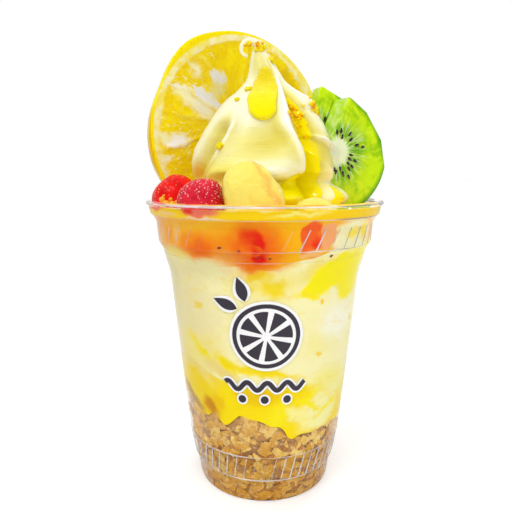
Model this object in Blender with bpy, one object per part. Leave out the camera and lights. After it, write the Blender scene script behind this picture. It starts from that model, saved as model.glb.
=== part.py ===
"""Lemon parfait in a clear plastic take-away cup.

From the table up: crushed cereal, lemon sauce, pale cream and a fruit sauce fill the cup to its rim. A
piped soft-serve swirl, an orange slice, two kiwi slices, two strawberries and two peach chunks stand
on top.

Sizes are in millimetres and are scaled to metres when a mesh is made. +Z is up and the origin is the centre
of the cup's foot on the table. An azimuth is measured in degrees from the front (-Y), positive towards +X.
"""

import math

import bmesh
import bpy
from mathutils import Vector, noise

MM = 0.001
GAP = 0.35  # clearance between neighbouring pieces
SHARP_ANGLE = 40.0  # an edge that turns by more degrees is drawn sharp

# Cup: a 98 mm thin-walled cup, 121 mm tall.
RIM_RADIUS = 49.0
CUP_HEIGHT = 121.0
CUP_WALL = 0.5
GROOVE_FLOOR = 0.6  # height of the inside of the standing ring
BEAD_RADIUS = 0.9
BEAD_ANGLES = (-20, 25, 65, 90, 125, 180)  # from the rim's outer foot over its top to the inner wall
CUP_SEGMENTS = 32
FOOT_RADIUS = 27.2  # outer edge of the flat standing ring
FOOT_INNER_RADIUS = 24.2
PUSH_UP_RADIUS = 22.0  # the middle of the bottom is pushed up
PUSH_UP = 2.5
# (height, outer radius) up the outside of the wall, from the heel to just under the rolled rim.
CUP_OUTSIDE = (
    (0.6, 28.3),  # heel
    (2.0, 28.8),
    (9.6, 29.9),
    (11.5, 31.0),  # lower ribbed band
    (22.6, 33.0),
    (51.0, 36.1),
    (92.0, 40.2),  # shoulder
    (97.0, 41.7),
    (102.0, 42.9),
    (104.7, 44.5),  # upper ribbed band
    (112.4, 45.0),
    (114.6, 46.1),  # lid seat
    (116.0, 47.5),
    (119.2, 48.1),
)

# Contents: the fill reaches up the wall in four layers.
FLOOR_HEIGHT = 3.1  # inside of the pushed-up bottom
FILL_SEGMENTS = 32
FILL_TOP = 119.0
STATION_SPACING = 0.05  # least height between two rings of a layer's side
CAP_SHARES = (0.4, 0.75)  # rings of a layer's top and bottom, as shares of its radius
MEAN_STEPS = 24  # places round the wall that a level's mean is taken over
# A level at the wall: its mean, its waves (height, number round the cup, phase in degrees) and its humps
# (height, azimuth, width in degrees). The cereal is heaped at the left and low at the front right, the
# sauce slopes down from the left, and the cream is highest at the front right.
FLOOR_LEVEL = (FLOOR_HEIGHT, (), ())
CEREAL_LEVEL = (
    36.6,
    ((1.4, 3, 40), (0.9, 7, 0)),
    ((5.5, -68, 20), (-1.2, -27, 9), (3.4, -14, 9), (-5.0, 24, 22)),
)
SAUCE_LEVEL = (51.5, ((1.6, 2, 70), (1.0, 5, 20)), ((8.0, -62, 34), (-6.0, 45, 30)))
CREAM_LEVEL = (100.4, ((0.8, 3, 0), (0.7, 6, 50)), ((-3.2, 2, 9), (9.5, 48, 17)))
FILL_LEVEL = (FILL_TOP, (), ())

# Soft-serve swirl.
SWIRL_X, SWIRL_Y = 0.5, -3.0
SWIRL_SEGMENTS = 36
SWIRL_TWIST_FROM = 128.0
# (height, crest radius, sideways shift of the centre line, spread of the foot towards FOOT_LOBE)
SWIRL_STATIONS = (
    (119.4, 29.0, 0.0, 3.0),
    (122.0, 30.5, 0.0, 3.6),
    (125.5, 29.5, 0.0, 2.2),
    (128.0, 27.5, 0.0, 0.0),
    (131.0, 29.3, 0.0, 0.0),
    (135.0, 30.3, 0.0, 0.0),
    (140.0, 29.5, 0.0, 0.0),
    (145.0, 27.2, 0.0, 0.0),
    (150.0, 24.3, 0.0, 0.0),
    (155.0, 20.9, 0.0, 0.0),
    (160.0, 16.8, 0.0, 0.0),
    (164.0, 12.2, 0.2, 0.0),
    (168.0, 8.2, -0.2, 0.0),
    (172.0, 6.1, -1.0, 0.0),
    (176.0, 4.6, -1.9, 0.0),
    (179.5, 3.3, -2.5, 0.0),
)
FOOT_LOBE, FOOT_LOBE_WIDTH = 74.0, 38.0  # azimuth and width in degrees of the foot's widest lobe
# Valleys between the lobes: (azimuth at SWIRL_TWIST_FROM, turn in degrees for each mm of height above it,
# depth as a share of the crest radius).
SWIRL_VALLEYS = (
    (-60.0, 1.1, 0.12),
    (45.0, -0.1, 0.37),
    (98.0, 0.45, 0.26),
    (170.0, 0.45, 0.30),
    (242.0, 0.45, 0.30),
)
# The valleys get shallower over the last millimetres below the tip, down to a share of their depth.
TIP_FADE_HEIGHT, TIP_FADE_SHARE = 14.0, 0.25
LOBE_ROUNDNESS = 3.0
# The curl at the swirl's tip: an arc whose radius and thickness shrink from the first value to the last.
CURL_RADIUS = (4.7, 1.7)
CURL_TUBE = (2.5, 0.5)
CURL_TURN = 265.0
CURL_STEPS = 7
# How soon along the arc its radius and its thickness shrink: 1 is evenly, less is sooner.
CURL_RADIUS_PACE, CURL_TUBE_PACE = 0.55, 0.6
CURL_LIFT = 0.5  # of the arc's centre above the last station

# Orange slice: an oval standing behind the swirl.
ORANGE_PLACE = (-11.4, 24.0, 149.6)
ORANGE_HALF_WIDTH, ORANGE_HALF_HEIGHT = 41.2, 44.5
ORANGE_THICKNESS = 6.5
ORANGE_YAW = 20.0
ORANGE_UNEVENNESS = 0.014  # share of the radius that the oval swells by
ORANGE_WIDEST = 4.5  # twice the angle of the swelling, in radians

# Kiwi slices: peeled rounds, cut straight where a flat (angle in the slice's plane, distance) is named.
KIWI_THICKNESS = 6.4
KIWI_YAW = 24.0
KIWI_FRONT = {
    "place": (28.7, -1.1, 139.5),
    "radius": 24.8,
    "flats": ((156.0, 5.4), (77.0, 22.6), (56.0, 21.8), (36.0, 21.1), (12.0, 22.7)),
}
KIWI_BACK = {
    "place": (20.6, 2.9, 144.6),
    "radius": 22.9,
    "flats": ((180.0, 1.5), (67.0, 21.9), (20.0, 21.5)),
}

SLICE_SEGMENTS = 40
SLICE_EDGE = 0.7  # rounding of a slice's edges
BLOB_SEGMENTS = 18
BLOB_LEVELS = 9
LUMP_SCALE = 0.11  # how fast the unevenness of a berry or chunk changes, per millimetre
# Berries and chunks: place of the centre, half sizes and turn about +Z. roundness is 1 for an ellipsoid and
# less for a boxier form, lumps is the share by which it is uneven, taper is the share by which its top
# narrows, and lean is how far its top is shifted sideways.
STRAWBERRIES = {
    "strawberry_left": {
        "place": (-35.0, -13.6, 121.4),
        "size": (9.6, 8.0, 9.6),
        "turn": 10.0,
        "roundness": 0.85,
        "lumps": 0.12,
        "taper": 0.25,
        "lean": 0.0,
    },
    "strawberry_right": {
        "place": (-23.4, -30.7, 121.7),
        "size": (8.6, 6.2, 8.0),
        "turn": -24.0,
        "roundness": 0.78,
        "lumps": 0.10,
        "taper": 0.12,
        "lean": 1.0,
    },
}
PEACHES = {
    "peach_chunk": {
        "place": (-4.3, -38.2, 123.0),
        "size": (11.0, 5.6, 13.2),
        "turn": 4.0,
        "roundness": 0.72,
        "lumps": 0.10,
        "taper": 0.36,
        "lean": -3.0,
    },
    "peach_chunk_small": {
        "place": (17.2, -36.0, 119.2),
        "size": (7.6, 4.8, 4.4),
        "turn": 26.0,
        "roundness": 0.72,
        "lumps": 0.10,
        "taper": 0.3,
        "lean": 0.0,
    },
}


def direction(azimuth):
    """Unit vector in plan at an azimuth in degrees."""
    angle = math.radians(azimuth)
    return Vector((math.sin(angle), -math.cos(angle), 0.0))


def blend(low, high, share):
    return low + (high - low) * share


def outer_radius(height):
    """Radius of the cup's outside, straight between the stations of CUP_OUTSIDE."""
    for (low, low_radius), (high, high_radius) in zip(CUP_OUTSIDE, CUP_OUTSIDE[1:]):
        if low <= height <= high:
            return blend(low_radius, high_radius, (height - low) / (high - low))
    lowest, highest = CUP_OUTSIDE[0], CUP_OUTSIDE[-1]
    return lowest[1] if height < lowest[0] else highest[1]


def inner_radius(height):
    return outer_radius(height) - CUP_WALL


def make_material(name, colour, roughness, transmission=0.0):
    material = bpy.data.materials.new(name)
    material.use_nodes = True
    shader = material.node_tree.nodes["Principled BSDF"]
    shader.inputs["Base Color"].default_value = (*colour, 1.0)
    shader.inputs["Roughness"].default_value = roughness
    shader.inputs["Metallic"].default_value = 0.0
    shader.inputs["Transmission Weight"].default_value = transmission
    return material


def add_object(name, mesh, material):
    mesh.materials.append(material)
    mesh.shade_smooth()
    mesh.set_sharp_from_angle(angle=math.radians(SHARP_ANGLE))
    obj = bpy.data.objects.new(name, mesh)
    bpy.context.scene.collection.objects.link(obj)
    return obj


def mesh_from_rings(name, start, rings, end, mirrored_from=None):
    """A closed skin: a fan from the point start, bands between equal rings, a fan to the point end.

    Bands from the one numbered mirrored_from on are split along their other diagonal.
    """
    body = bmesh.new()
    first = body.verts.new(start * MM)
    loops = [[body.verts.new(point * MM) for point in ring] for ring in rings]
    last = body.verts.new(end * MM)
    count = len(rings[0])
    for i in range(count):
        j = (i + 1) % count
        body.faces.new((first, loops[0][j], loops[0][i]))
        for band, (lower, upper) in enumerate(zip(loops, loops[1:])):
            if mirrored_from is None or band < mirrored_from:
                body.faces.new((lower[i], lower[j], upper[j]))
                body.faces.new((lower[i], upper[j], upper[i]))
            else:
                body.faces.new((lower[i], lower[j], upper[i]))
                body.faces.new((lower[j], upper[j], upper[i]))
        body.faces.new((last, loops[-1][i], loops[-1][j]))
    bmesh.ops.recalc_face_normals(body, faces=body.faces)
    mesh = bpy.data.meshes.new(name)
    body.to_mesh(mesh)
    body.free()
    return mesh


def ring_at(height, radius, count):
    return [direction(360.0 * i / count) * radius + Vector((0, 0, height)) for i in range(count)]


# ---------------------------------------------------------------- cup

def bead_profile():
    """The rolled rim, from its outer foot over the top to the inner wall: (radius, height)."""
    centre_radius = RIM_RADIUS - BEAD_RADIUS
    centre_height = CUP_HEIGHT - BEAD_RADIUS
    return [
        (
            centre_radius + BEAD_RADIUS * math.cos(math.radians(a)),
            centre_height + BEAD_RADIUS * math.sin(math.radians(a)),
        )
        for a in BEAD_ANGLES
    ]


def make_cup(material):
    outside = [(PUSH_UP_RADIUS, PUSH_UP), (FOOT_INNER_RADIUS, 0.0), (FOOT_RADIUS, 0.0)]
    outside += [(radius, height) for height, radius in CUP_OUTSIDE]
    inside = [(radius - CUP_WALL, height) for height, radius in reversed(CUP_OUTSIDE[1:])]
    floor = [
        (FOOT_RADIUS - 2 * CUP_WALL, GROOVE_FLOOR),
        (FOOT_INNER_RADIUS + CUP_WALL, GROOVE_FLOOR),
        (PUSH_UP_RADIUS, FLOOR_HEIGHT),
    ]
    profile = outside + bead_profile() + inside + floor
    rings = [ring_at(height, radius, CUP_SEGMENTS) for radius, height in profile]
    under = Vector((0, 0, PUSH_UP))
    over = Vector((0, 0, FLOOR_HEIGHT))
    add_object("cup", mesh_from_rings("cup", under, rings, over), material)


# ---------------------------------------------------------------- contents

def bump(azimuth, centre, width):
    """A smooth hump of height 1 round the wall, width in degrees."""
    away = (azimuth - centre + 180.0) % 360.0 - 180.0
    return math.exp(-((away / width) ** 2))


def height_at(level, azimuth):
    """Height of a level at the wall."""
    mean, waves, humps = level
    height = mean
    for size, number, phase in waves:
        height += size * math.sin(math.radians(number * azimuth + phase))
    for size, centre, width in humps:
        height += size * bump(azimuth, centre, width)
    return height


def height_inside(level, azimuth, share):
    """Its height at a share of the radius: the wall's waves fade towards their mean at the axis."""
    steps = [360.0 * i / MEAN_STEPS for i in range(MEAN_STEPS)]
    mean = sum(height_at(level, a) for a in steps) / MEAN_STEPS
    return blend(mean, height_at(level, azimuth), share * share)


def make_layer(name, material, low, high):
    """A layer that fills the cup between two levels, GAP away from the wall and from its neighbours."""
    azimuths = [360.0 * i / FILL_SEGMENTS for i in range(FILL_SEGMENTS)]
    lowest = min(height_at(low, a) for a in azimuths)
    highest = max(height_at(high, a) for a in azimuths)
    breaks = [h for h, _ in CUP_OUTSIDE if lowest < h < highest]
    count = len(breaks)

    def side_point(azimuth, index):
        floor = height_at(low, azimuth) + GAP
        ceiling = height_at(high, azimuth)
        if index == 0:
            height = floor
        elif index == count + 1:
            height = ceiling
        else:
            least = floor + index * STATION_SPACING
            most = ceiling - (count + 1 - index) * STATION_SPACING
            height = min(max(breaks[index - 1], least), most)
        return direction(azimuth) * (inner_radius(height) - GAP) + Vector((0, 0, height))

    def cap_ring(level, share, lift):
        radius = (inner_radius(min(height_at(level, a) for a in azimuths)) - GAP) * share
        heights = [height_inside(level, a, share) + lift for a in azimuths]
        return [direction(a) * radius + Vector((0, 0, height)) for a, height in zip(azimuths, heights)]

    rings = [cap_ring(low, share, GAP) for share in CAP_SHARES]
    rings += [[side_point(a, i) for a in azimuths] for i in range(count + 2)]
    rings += [cap_ring(high, share, 0.0) for share in reversed(CAP_SHARES)]
    bottom = Vector((0, 0, height_inside(low, 0.0, 0.0) + GAP))
    top = Vector((0, 0, height_inside(high, 0.0, 0.0)))
    # The two caps are split alike, so that the top of one layer fits the bottom of the next.
    mesh = mesh_from_rings(name, bottom, rings, top, mirrored_from=len(rings) - len(CAP_SHARES) - 1)
    return add_object(name, mesh, material)


# ---------------------------------------------------------------- soft-serve swirl

def lobe_share(azimuth, height):
    """Surface radius as a share of the crest radius: 1 on a lobe's crest, less in the valleys."""
    above = max(0.0, height - SWIRL_TWIST_FROM)
    fade = min(1.0, (SWIRL_STATIONS[-1][0] - height) / TIP_FADE_HEIGHT + TIP_FADE_SHARE)
    valleys = [(angle + turn * above, depth) for angle, turn, depth in SWIRL_VALLEYS]
    valleys.append((valleys[0][0] + 360.0, valleys[0][1]))
    turned = (azimuth - valleys[0][0]) % 360.0 + valleys[0][0]
    for (left, left_depth), (right, right_depth) in zip(valleys, valleys[1:]):
        if turned <= right:
            middle = (left + right) / 2
            depth = left_depth if turned < middle else right_depth
            away = abs(turned - middle) / ((right - left) / 2)
            return 1.0 - fade * depth * away**LOBE_ROUNDNESS
    return 1.0


def swirl_ring(height, radius, shift, spread):
    centre = Vector((SWIRL_X + shift, SWIRL_Y, height))
    ring = []
    for i in range(SWIRL_SEGMENTS):
        azimuth = 360.0 * i / SWIRL_SEGMENTS
        reach = radius * lobe_share(azimuth, height) + spread * bump(azimuth, FOOT_LOBE, FOOT_LOBE_WIDTH)
        ring.append(centre + direction(azimuth) * reach)
    return ring


def curl_rings():
    """The tip curls over to the left: rings along an arc that winds in."""
    height, _, shift, _ = SWIRL_STATIONS[-1]
    centre = Vector((SWIRL_X + shift - CURL_RADIUS[0], SWIRL_Y, height + CURL_LIFT))
    rings = []
    for step in range(1, CURL_STEPS + 1):
        share = step / CURL_STEPS
        angle = math.radians(CURL_TURN * share)
        out = Vector((math.cos(angle), 0.0, math.sin(angle)))
        tube = blend(*CURL_TUBE, share**CURL_TUBE_PACE)
        middle = centre + out * blend(*CURL_RADIUS, share**CURL_RADIUS_PACE)
        ring = []
        for i in range(SWIRL_SEGMENTS):
            side = direction(360.0 * i / SWIRL_SEGMENTS)
            ring.append(middle + (out * side.x + Vector((0, 1, 0)) * side.y) * tube)
        rings.append(ring)
    return rings


def make_swirl(material, cutters):
    rings = [swirl_ring(*station) for station in SWIRL_STATIONS] + curl_rings()
    foot = SWIRL_STATIONS[0][0]
    start = Vector((SWIRL_X, SWIRL_Y, foot))
    end = sum(rings[-1], Vector()) / SWIRL_SEGMENTS
    swirl = add_object("soft_serve", mesh_from_rings("soft_serve", start, rings, end), material)
    cut_round(swirl, cutters)


# ---------------------------------------------------------------- slices, berries and chunks

def slice_mesh(name, reach, thickness):
    """A slice in its own XZ plane, with its faces along -Y and +Y. reach(angle) is its outline's radius."""
    half = thickness / 2

    def ring(inset, depth):
        points = []
        for i in range(SLICE_SEGMENTS):
            angle = 2 * math.pi * i / SLICE_SEGMENTS
            distance = reach(angle) - inset
            points.append(Vector((distance * math.cos(angle), depth, distance * math.sin(angle))))
        return points

    rings = [
        ring(SLICE_EDGE, -half),
        ring(0.0, -half + SLICE_EDGE),
        ring(0.0, half - SLICE_EDGE),
        ring(SLICE_EDGE, half),
    ]
    return mesh_from_rings(name, Vector((0, -half, 0)), rings, Vector((0, half, 0)))


def place(obj, spot, yaw):
    obj.location = Vector(spot) * MM
    obj.rotation_euler = (0.0, 0.0, math.radians(yaw))


def make_orange(name, material, grow=0.0):
    def reach(angle):
        """An oval, a little uneven."""
        across = math.cos(angle) / ORANGE_HALF_WIDTH
        upward = math.sin(angle) / ORANGE_HALF_HEIGHT
        uneven = ORANGE_UNEVENNESS * math.cos(2 * angle - ORANGE_WIDEST)
        return (1.0 + uneven) / math.hypot(across, upward) + grow

    obj = add_object(name, slice_mesh(name, reach, ORANGE_THICKNESS + 2 * grow), material)
    place(obj, ORANGE_PLACE, ORANGE_YAW)
    return obj


def make_kiwi(name, material, facts, grow=0.0):
    def reach(angle):
        """A round, cut back to its flats."""
        distance = facts["radius"] + grow
        for flat_angle, flat_distance in facts["flats"]:
            facing = math.cos(angle - math.radians(flat_angle))
            if facing > 0.0:
                distance = min(distance, (flat_distance + grow) / facing)
        return distance

    obj = add_object(name, slice_mesh(name, reach, KIWI_THICKNESS + 2 * grow), material)
    place(obj, facts["place"], KIWI_YAW)
    return obj


def blob_mesh(name, facts, grow):
    """A rounded lump: a superellipsoid made uneven by smooth noise, grown by grow on every side."""
    size = [half + grow for half in facts["size"]]
    shift = Vector((facts["place"][0], 0, 0))

    def soft(value):
        return math.copysign(abs(value) ** facts["roundness"], value)

    def point(angle, lift):
        narrow = 1.0 - facts["taper"] * max(0.0, math.sin(lift))
        x = size[0] * soft(math.cos(angle)) * soft(math.cos(lift)) * narrow
        y = size[1] * soft(math.sin(angle)) * soft(math.cos(lift)) * narrow
        z = size[2] * soft(math.sin(lift))
        spot = Vector((x + facts["lean"] * z / size[2], y, z))
        return spot * (1.0 + facts["lumps"] * noise.noise(spot * LUMP_SCALE + shift))

    rings = []
    for level in range(1, BLOB_LEVELS):
        lift = -math.pi / 2 + math.pi * level / BLOB_LEVELS
        rings.append([point(2 * math.pi * i / BLOB_SEGMENTS, lift) for i in range(BLOB_SEGMENTS)])
    return mesh_from_rings(name, point(0.0, -math.pi / 2), rings, point(0.0, math.pi / 2))


def make_blob(name, material, facts, grow=0.0):
    obj = add_object(name, blob_mesh(name, facts, grow), material)
    place(obj, facts["place"], facts["turn"])
    return obj


# ---------------------------------------------------------------- cutting one piece round another

def cut_round(obj, cutters):
    for cutter in cutters:
        modifier = obj.modifiers.new("round_" + cutter.name, "BOOLEAN")
        modifier.operation = "DIFFERENCE"
        modifier.solver = "EXACT"
        modifier.object = cutter


def main():
    for obj in list(bpy.data.objects):
        bpy.data.objects.remove(obj)

    plastic = make_material("clear_plastic", (0.95, 0.97, 0.98), 0.05, transmission=1.0)
    cereal = make_material("cereal", (0.66, 0.42, 0.14), 0.7)
    lemon = make_material("lemon_sauce", (0.98, 0.80, 0.02), 0.25)
    cream = make_material("cream", (0.96, 0.90, 0.62), 0.45)
    fruit = make_material("fruit_sauce", (0.98, 0.50, 0.04), 0.25)
    soft = make_material("soft_serve", (0.98, 0.95, 0.76), 0.4)
    orange = make_material("orange", (0.95, 0.74, 0.05), 0.4)
    kiwi = make_material("kiwi", (0.42, 0.68, 0.04), 0.4)
    berry = make_material("strawberry", (0.85, 0.05, 0.05), 0.4)
    peach = make_material("peach", (0.97, 0.78, 0.32), 0.35)

    make_orange("orange_slice", orange)
    make_kiwi("kiwi_slice_front", kiwi, KIWI_FRONT)
    kiwi_back = make_kiwi("kiwi_slice_back", kiwi, KIWI_BACK)
    cutters = [
        make_orange("cut_orange", orange, GAP),
        make_kiwi("cut_kiwi_front", kiwi, KIWI_FRONT, GAP),
        make_kiwi("cut_kiwi_back", kiwi, KIWI_BACK, GAP),
    ]
    for name, facts in STRAWBERRIES.items():
        make_blob(name, berry, facts)
        cutters.append(make_blob("cut_" + name, berry, facts, GAP))
    for name, facts in PEACHES.items():
        make_blob(name, peach, facts)
        cutters.append(make_blob("cut_" + name, peach, facts, GAP))
    for cutter in cutters:
        cutter.hide_render = True
        cutter.display_type = "WIRE"
    cut_round(kiwi_back, cutters[:2])

    make_cup(plastic)
    make_layer("cereal", cereal, FLOOR_LEVEL, CEREAL_LEVEL)
    make_layer("lemon_sauce", lemon, CEREAL_LEVEL, SAUCE_LEVEL)
    make_layer("cream", cream, SAUCE_LEVEL, CREAM_LEVEL)
    fill = make_layer("fruit_sauce", fruit, CREAM_LEVEL, FILL_LEVEL)
    cut_round(fill, cutters)
    make_swirl(soft, cutters)


main()
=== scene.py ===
"""Looks of the lemon parfait: fine meshes, materials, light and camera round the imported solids.

Sizes are in millimetres and are scaled to metres when a mesh is made. An azimuth is measured in degrees from
the front (-Y), positive towards +X. Colours are screen colours from 0 to 255.
"""

import math
import random

import bpy
import numpy as np
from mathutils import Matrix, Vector, noise


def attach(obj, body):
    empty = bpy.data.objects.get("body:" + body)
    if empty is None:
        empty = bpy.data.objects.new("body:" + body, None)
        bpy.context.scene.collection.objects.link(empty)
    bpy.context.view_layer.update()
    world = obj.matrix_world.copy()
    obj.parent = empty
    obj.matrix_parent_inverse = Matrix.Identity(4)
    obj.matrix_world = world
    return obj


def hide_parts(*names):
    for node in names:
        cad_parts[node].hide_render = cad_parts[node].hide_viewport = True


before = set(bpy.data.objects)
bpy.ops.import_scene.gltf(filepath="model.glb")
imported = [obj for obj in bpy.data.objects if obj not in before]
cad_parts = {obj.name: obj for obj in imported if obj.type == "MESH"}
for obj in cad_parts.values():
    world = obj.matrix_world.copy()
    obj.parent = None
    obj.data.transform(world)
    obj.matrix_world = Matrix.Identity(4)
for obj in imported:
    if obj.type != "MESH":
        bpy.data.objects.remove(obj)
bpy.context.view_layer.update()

MM = 0.001

# Cup, as in the solids.
RIM_RADIUS, CUP_HEIGHT = 49, 121
CUP_WALL, BEAD_RADIUS = 0.5, 0.9
CUP_SEGMENTS = 180
BEAD_ANGLES = range(-30, 181, 21)
FOOT_RADIUS, FOOT_INNER_RADIUS = 27.2, 24.2
PUSH_UP_RADIUS, PUSH_UP = 22, 2.5
GROOVE_HEIGHT, FLOOR_HEIGHT = 0.6, 3.1  # inside, at the foot and over the push-up
CUP_OUTSIDE = (  # height and radius, up the outside of the wall
    (0.6, 28.3), (2, 28.8), (9.6, 29.9), (11.5, 31), (22.6, 33), (51, 36.1), (92, 40.2),
    (97, 41.7), (102, 42.9), (104.7, 44.5), (112.4, 45), (114.6, 46.1), (116, 47.5), (119.2, 48.1),
)
INTO_WALL = 0.15  # how far the contents reach into the wall
UNDER_SURFACE = 0.12  # least depth of a seed under the wall's outside
FILL_TOP = 119
TOP_STARTS = (46.2, 44.6)  # distances from the axis over which the look of the wall gives way to the top's
RIM_STARTS = (115.2, 116.2)  # heights over which the cup's look gives way to the rim's

# Ribs moulded on the outside: count, azimuth of one at mid-height, low and high height, slant in degrees.
RIB_BANDS = ((52, -0.6, 11.6, 21.2, 3), (45, 1.3, 104.9, 112.2, 4.7))
RIB_WIDTH, RIB_RELIEF = 0.34, 0.14
# Fine lines round the wall: height, strength, more strength at an azimuth, that azimuth and its reach.
LINES = (
    (10.9, 0.8, 0.2, 20, 40),
    (21.9, 0.9, -0.5, -5, 16),
    (100.6, 0.12, 0.25, -2, 12),
    (104.6, 0.14, 0.8, 28, 18),
    (115.6, 0.2, 0.9, 46, 26),
    (120.2, 1.3, 0.5, -30, 50),
)
LINE_RADIUS = 0.2

# Soft-serve swirl, as in the solids: (height, crest radius, sideways shift, spread of the foot).
SWIRL_X, SWIRL_Y = 0.5, -3
SWIRL_STATIONS = (
    (118, 28, 0, 3), (119.4, 29, 0, 3), (122, 30.5, 0, 3.6), (125.5, 29.5, 0, 2.2), (128, 27.5, 0, 0),
    (131, 29.3, 0, 0), (135, 30.3, 0, 0), (140, 29.5, 0, 0), (145, 27.2, 0, 0), (150, 24.3, 0, 0),
    (155, 20.9, 0, 0), (160, 16.8, 0, 0), (164, 12.2, 0.2, 0), (168, 8.2, -0.2, 0), (172, 6.1, -1, 0),
    (176, 4.6, -1.9, 0), (179.5, 3.3, -2.5, 0),
)
SWIRL_TOP = SWIRL_STATIONS[-1][0]
SWIRL_BOTTOM, SWIRL_ROW = 118.2, 0.45  # lowest row of the mesh, and the step to the next
SWIRL_COLUMNS = 288
FOOT_LOBE, FOOT_LOBE_WIDTH = 74, 38
SWIRL_TWIST_FROM = 128
# Valleys between the lobes: azimuth at SWIRL_TWIST_FROM, turn for each mm of height, depth as a share. The
# first two follow LEFT_CREASE and RIGHT_VALLEY instead, so only their depths count.
SWIRL_VALLEYS = ((-60, 0, 0.12), (45, 0, 0.37), (98, 0.45, 0.26), (170, 0.45, 0.3), (242, 0.45, 0.3))
LOBE_ROUNDNESS = 3.2
# The front lobe: azimuths of its right edge, the valley beside it and the crease on its left, by height.
RIGHT_EDGE = (
    (118, 22), (128, 24), (131, 31), (134.5, 33.5), (138, 31.5), (144, 26), (150, 20), (156, 21), (164, 25),
    (172, 40), (180, 42),
)
RIGHT_VALLEY = (
    (118, 40), (131, 43), (142, 45), (150, 43), (155, 40), (160, 39), (165, 45), (172, 58), (180, 60),
)
LEFT_CREASE = ((118, -70), (130, -62), (136.5, -49), (142, -43), (149, -36), (160, -30), (180, -20))
# Swellings and hollows: azimuth, height, half sizes in degrees and millimetres, strength in millimetres.
FRONT_SWELLS = ((-3, 143.5, 28, 8, -4.2), (-10, 131.5, 44, 3.2, 1.4), (-56, 127.2, 32, 3.4, 2.8))
RIGHT_SWELLS = ((66, 160.3, 20, 3.2, 2.6), (66, 155.8, 18, 1.3, -0.9), (90, 143.5, 26, 5.5, -1.7))
# The same for painted shade and highlights on the cream: a yellower painted shade above 0, a whiter painted
# highlight below 0.
SWIRL_PAINTED_SHADING = (
    (-16, 173.5, 38, 7.5, 0.55),
    (-6, 147, 26, 8, -0.12),
    (-52, 141, 8, 10, 0.3),
    (62, 141, 14, 5, 0.5),
    (2, 133, 26, 2.6, -0.35),
    (-86, 141, 14, 9, 0.1),
    (14, 127.5, 30, 1.8, 0.9),
    (-12, 139, 18, 5, 0.22),
    (4, 142.5, 22, 4.5, 0.36),
    (-42, 150, 9, 5, 0.35),
)
# The cream's yellow in a crease is a painted shade, full at this depth.
CREASE_DEPTH = 9  # millimetres below the crest at which the cream is at its yellowest
# The curl at the tip: radius of its arc and of its tube, each from start to end, and its turn in degrees.
CURL_RADIUS, CURL_TUBE = (4.7, 2.1), (2.5, 0.5)
CURL_TURN, CURL_STEPS = 265, 44

# Runs of lemon sauce over the swirl: (azimuth, height, half width) along each run, and the thickness.
SAUCE_RUNS = {
    "front_drop": (
        ((2, 170.6, 2.2), (-2, 166.4, 3.8), (-5, 162, 5.2), (-6, 158.6, 5.6), (-5, 155.6, 5.1)),
        2,
    ),
    "right_valley": (
        (
            (40, 166, 1.2), (36, 161, 1.7), (39, 155, 2.8), (42, 150, 3), (45, 145, 2.4), (46, 139, 2.4),
            (45, 133, 3), (42, 128, 4.5),
        ),
        0.35,
    ),
    "pool": (((44, 129, 3.5), (38, 126.5, 6), (30, 124, 7.5), (22, 121.5, 7), (13, 120.5, 4.5)), 0.5),
    "foot_right": (((60, 126, 1.2), (60, 123.5, 2.2), (58, 120, 3.2)), 0.5),
}
SAUCE_STEPS, SAUCE_GRID = 40, 130
SAUCE_TOP = 178
SAUCE_EDGE, SAUCE_UNDERSIDE = 1.6, 0.8  # width of the rounded edge, and depth of the sheet's other side

# Crumbs of zest on the swirl: azimuth, height, spread in millimetres, how many, largest size.
ZEST_CLUSTERS = (
    (62, 176.6, 0.7, 7, 1.2),
    (-34, 163.3, 0.4, 5, 1.2),
    (-39, 159, 0.4, 4, 1.1),
    (-43, 141.6, 0.8, 7, 1.2),
    (38, 154.4, 1.4, 60, 1),
    (41, 150.8, 1.1, 26, 0.95),
    (46, 145.2, 0.7, 5, 1),
    (64, 158.4, 0.9, 7, 1.4),
    (72, 155, 0.8, 5, 1.3),
)
# Crumbs on the curl: places, spread in millimetres, how many, largest size.
TIP_CLUSTERS = (((-1.9, -5.6, 180.2), 1.1, 60, 1.05), ((-6.7, -4.2, 182), 0.6, 6, 1.1))
ZEST_TOP, ZEST_LIFT, ZEST_SIZES = 179, 0.4, (0.45, 1)  # sizes as a share of the largest

# Where the lemon sauce ends on the cereal, in drips at the front: azimuth, height.
CEREAL_TOP = (
    (-180, 36), (-125, 37.5), (-75, 40), (-55, 39.5), (-49, 37), (-41, 36.6), (-34, 38.8), (-31, 36.3),
    (-27, 34.7), (-22, 36.7), (-17, 39.6), (-10, 38.8), (-2, 37.7), (3, 36), (12, 33.9), (15, 30.8),
    (18, 29.5), (22, 30.6), (33, 30.6), (41, 30.8), (52, 31.2), (72, 30), (110, 33), (150, 35), (180, 36),
)
FILL_SEGMENTS, FILL_ROWS, FILL_RINGS = 360, 40, 24
# Dark seeds in the fruit sauce: azimuth and height of those at the front, and how many others.
FRUIT_SEEDS = ((-21.5, 106), (-12.4, 105.1), (-3.9, 102.8), (1.6, 102.4), (32.8, 102.4))
OTHER_FRUIT_SEEDS = 9
FLAKES, FLAKE_SIDES = 1700, 8
FLAKE_TONES = (0, 0, 0, 1, 1, 1, 2)  # drawn from for each flake: gold, light or brown
FLAKE_LEVELS = ((0.5, -0.55), (0.92, -0.5), (1, 0), (0.92, 0.5), (0.5, 0.55))  # share of its size, lift

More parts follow.
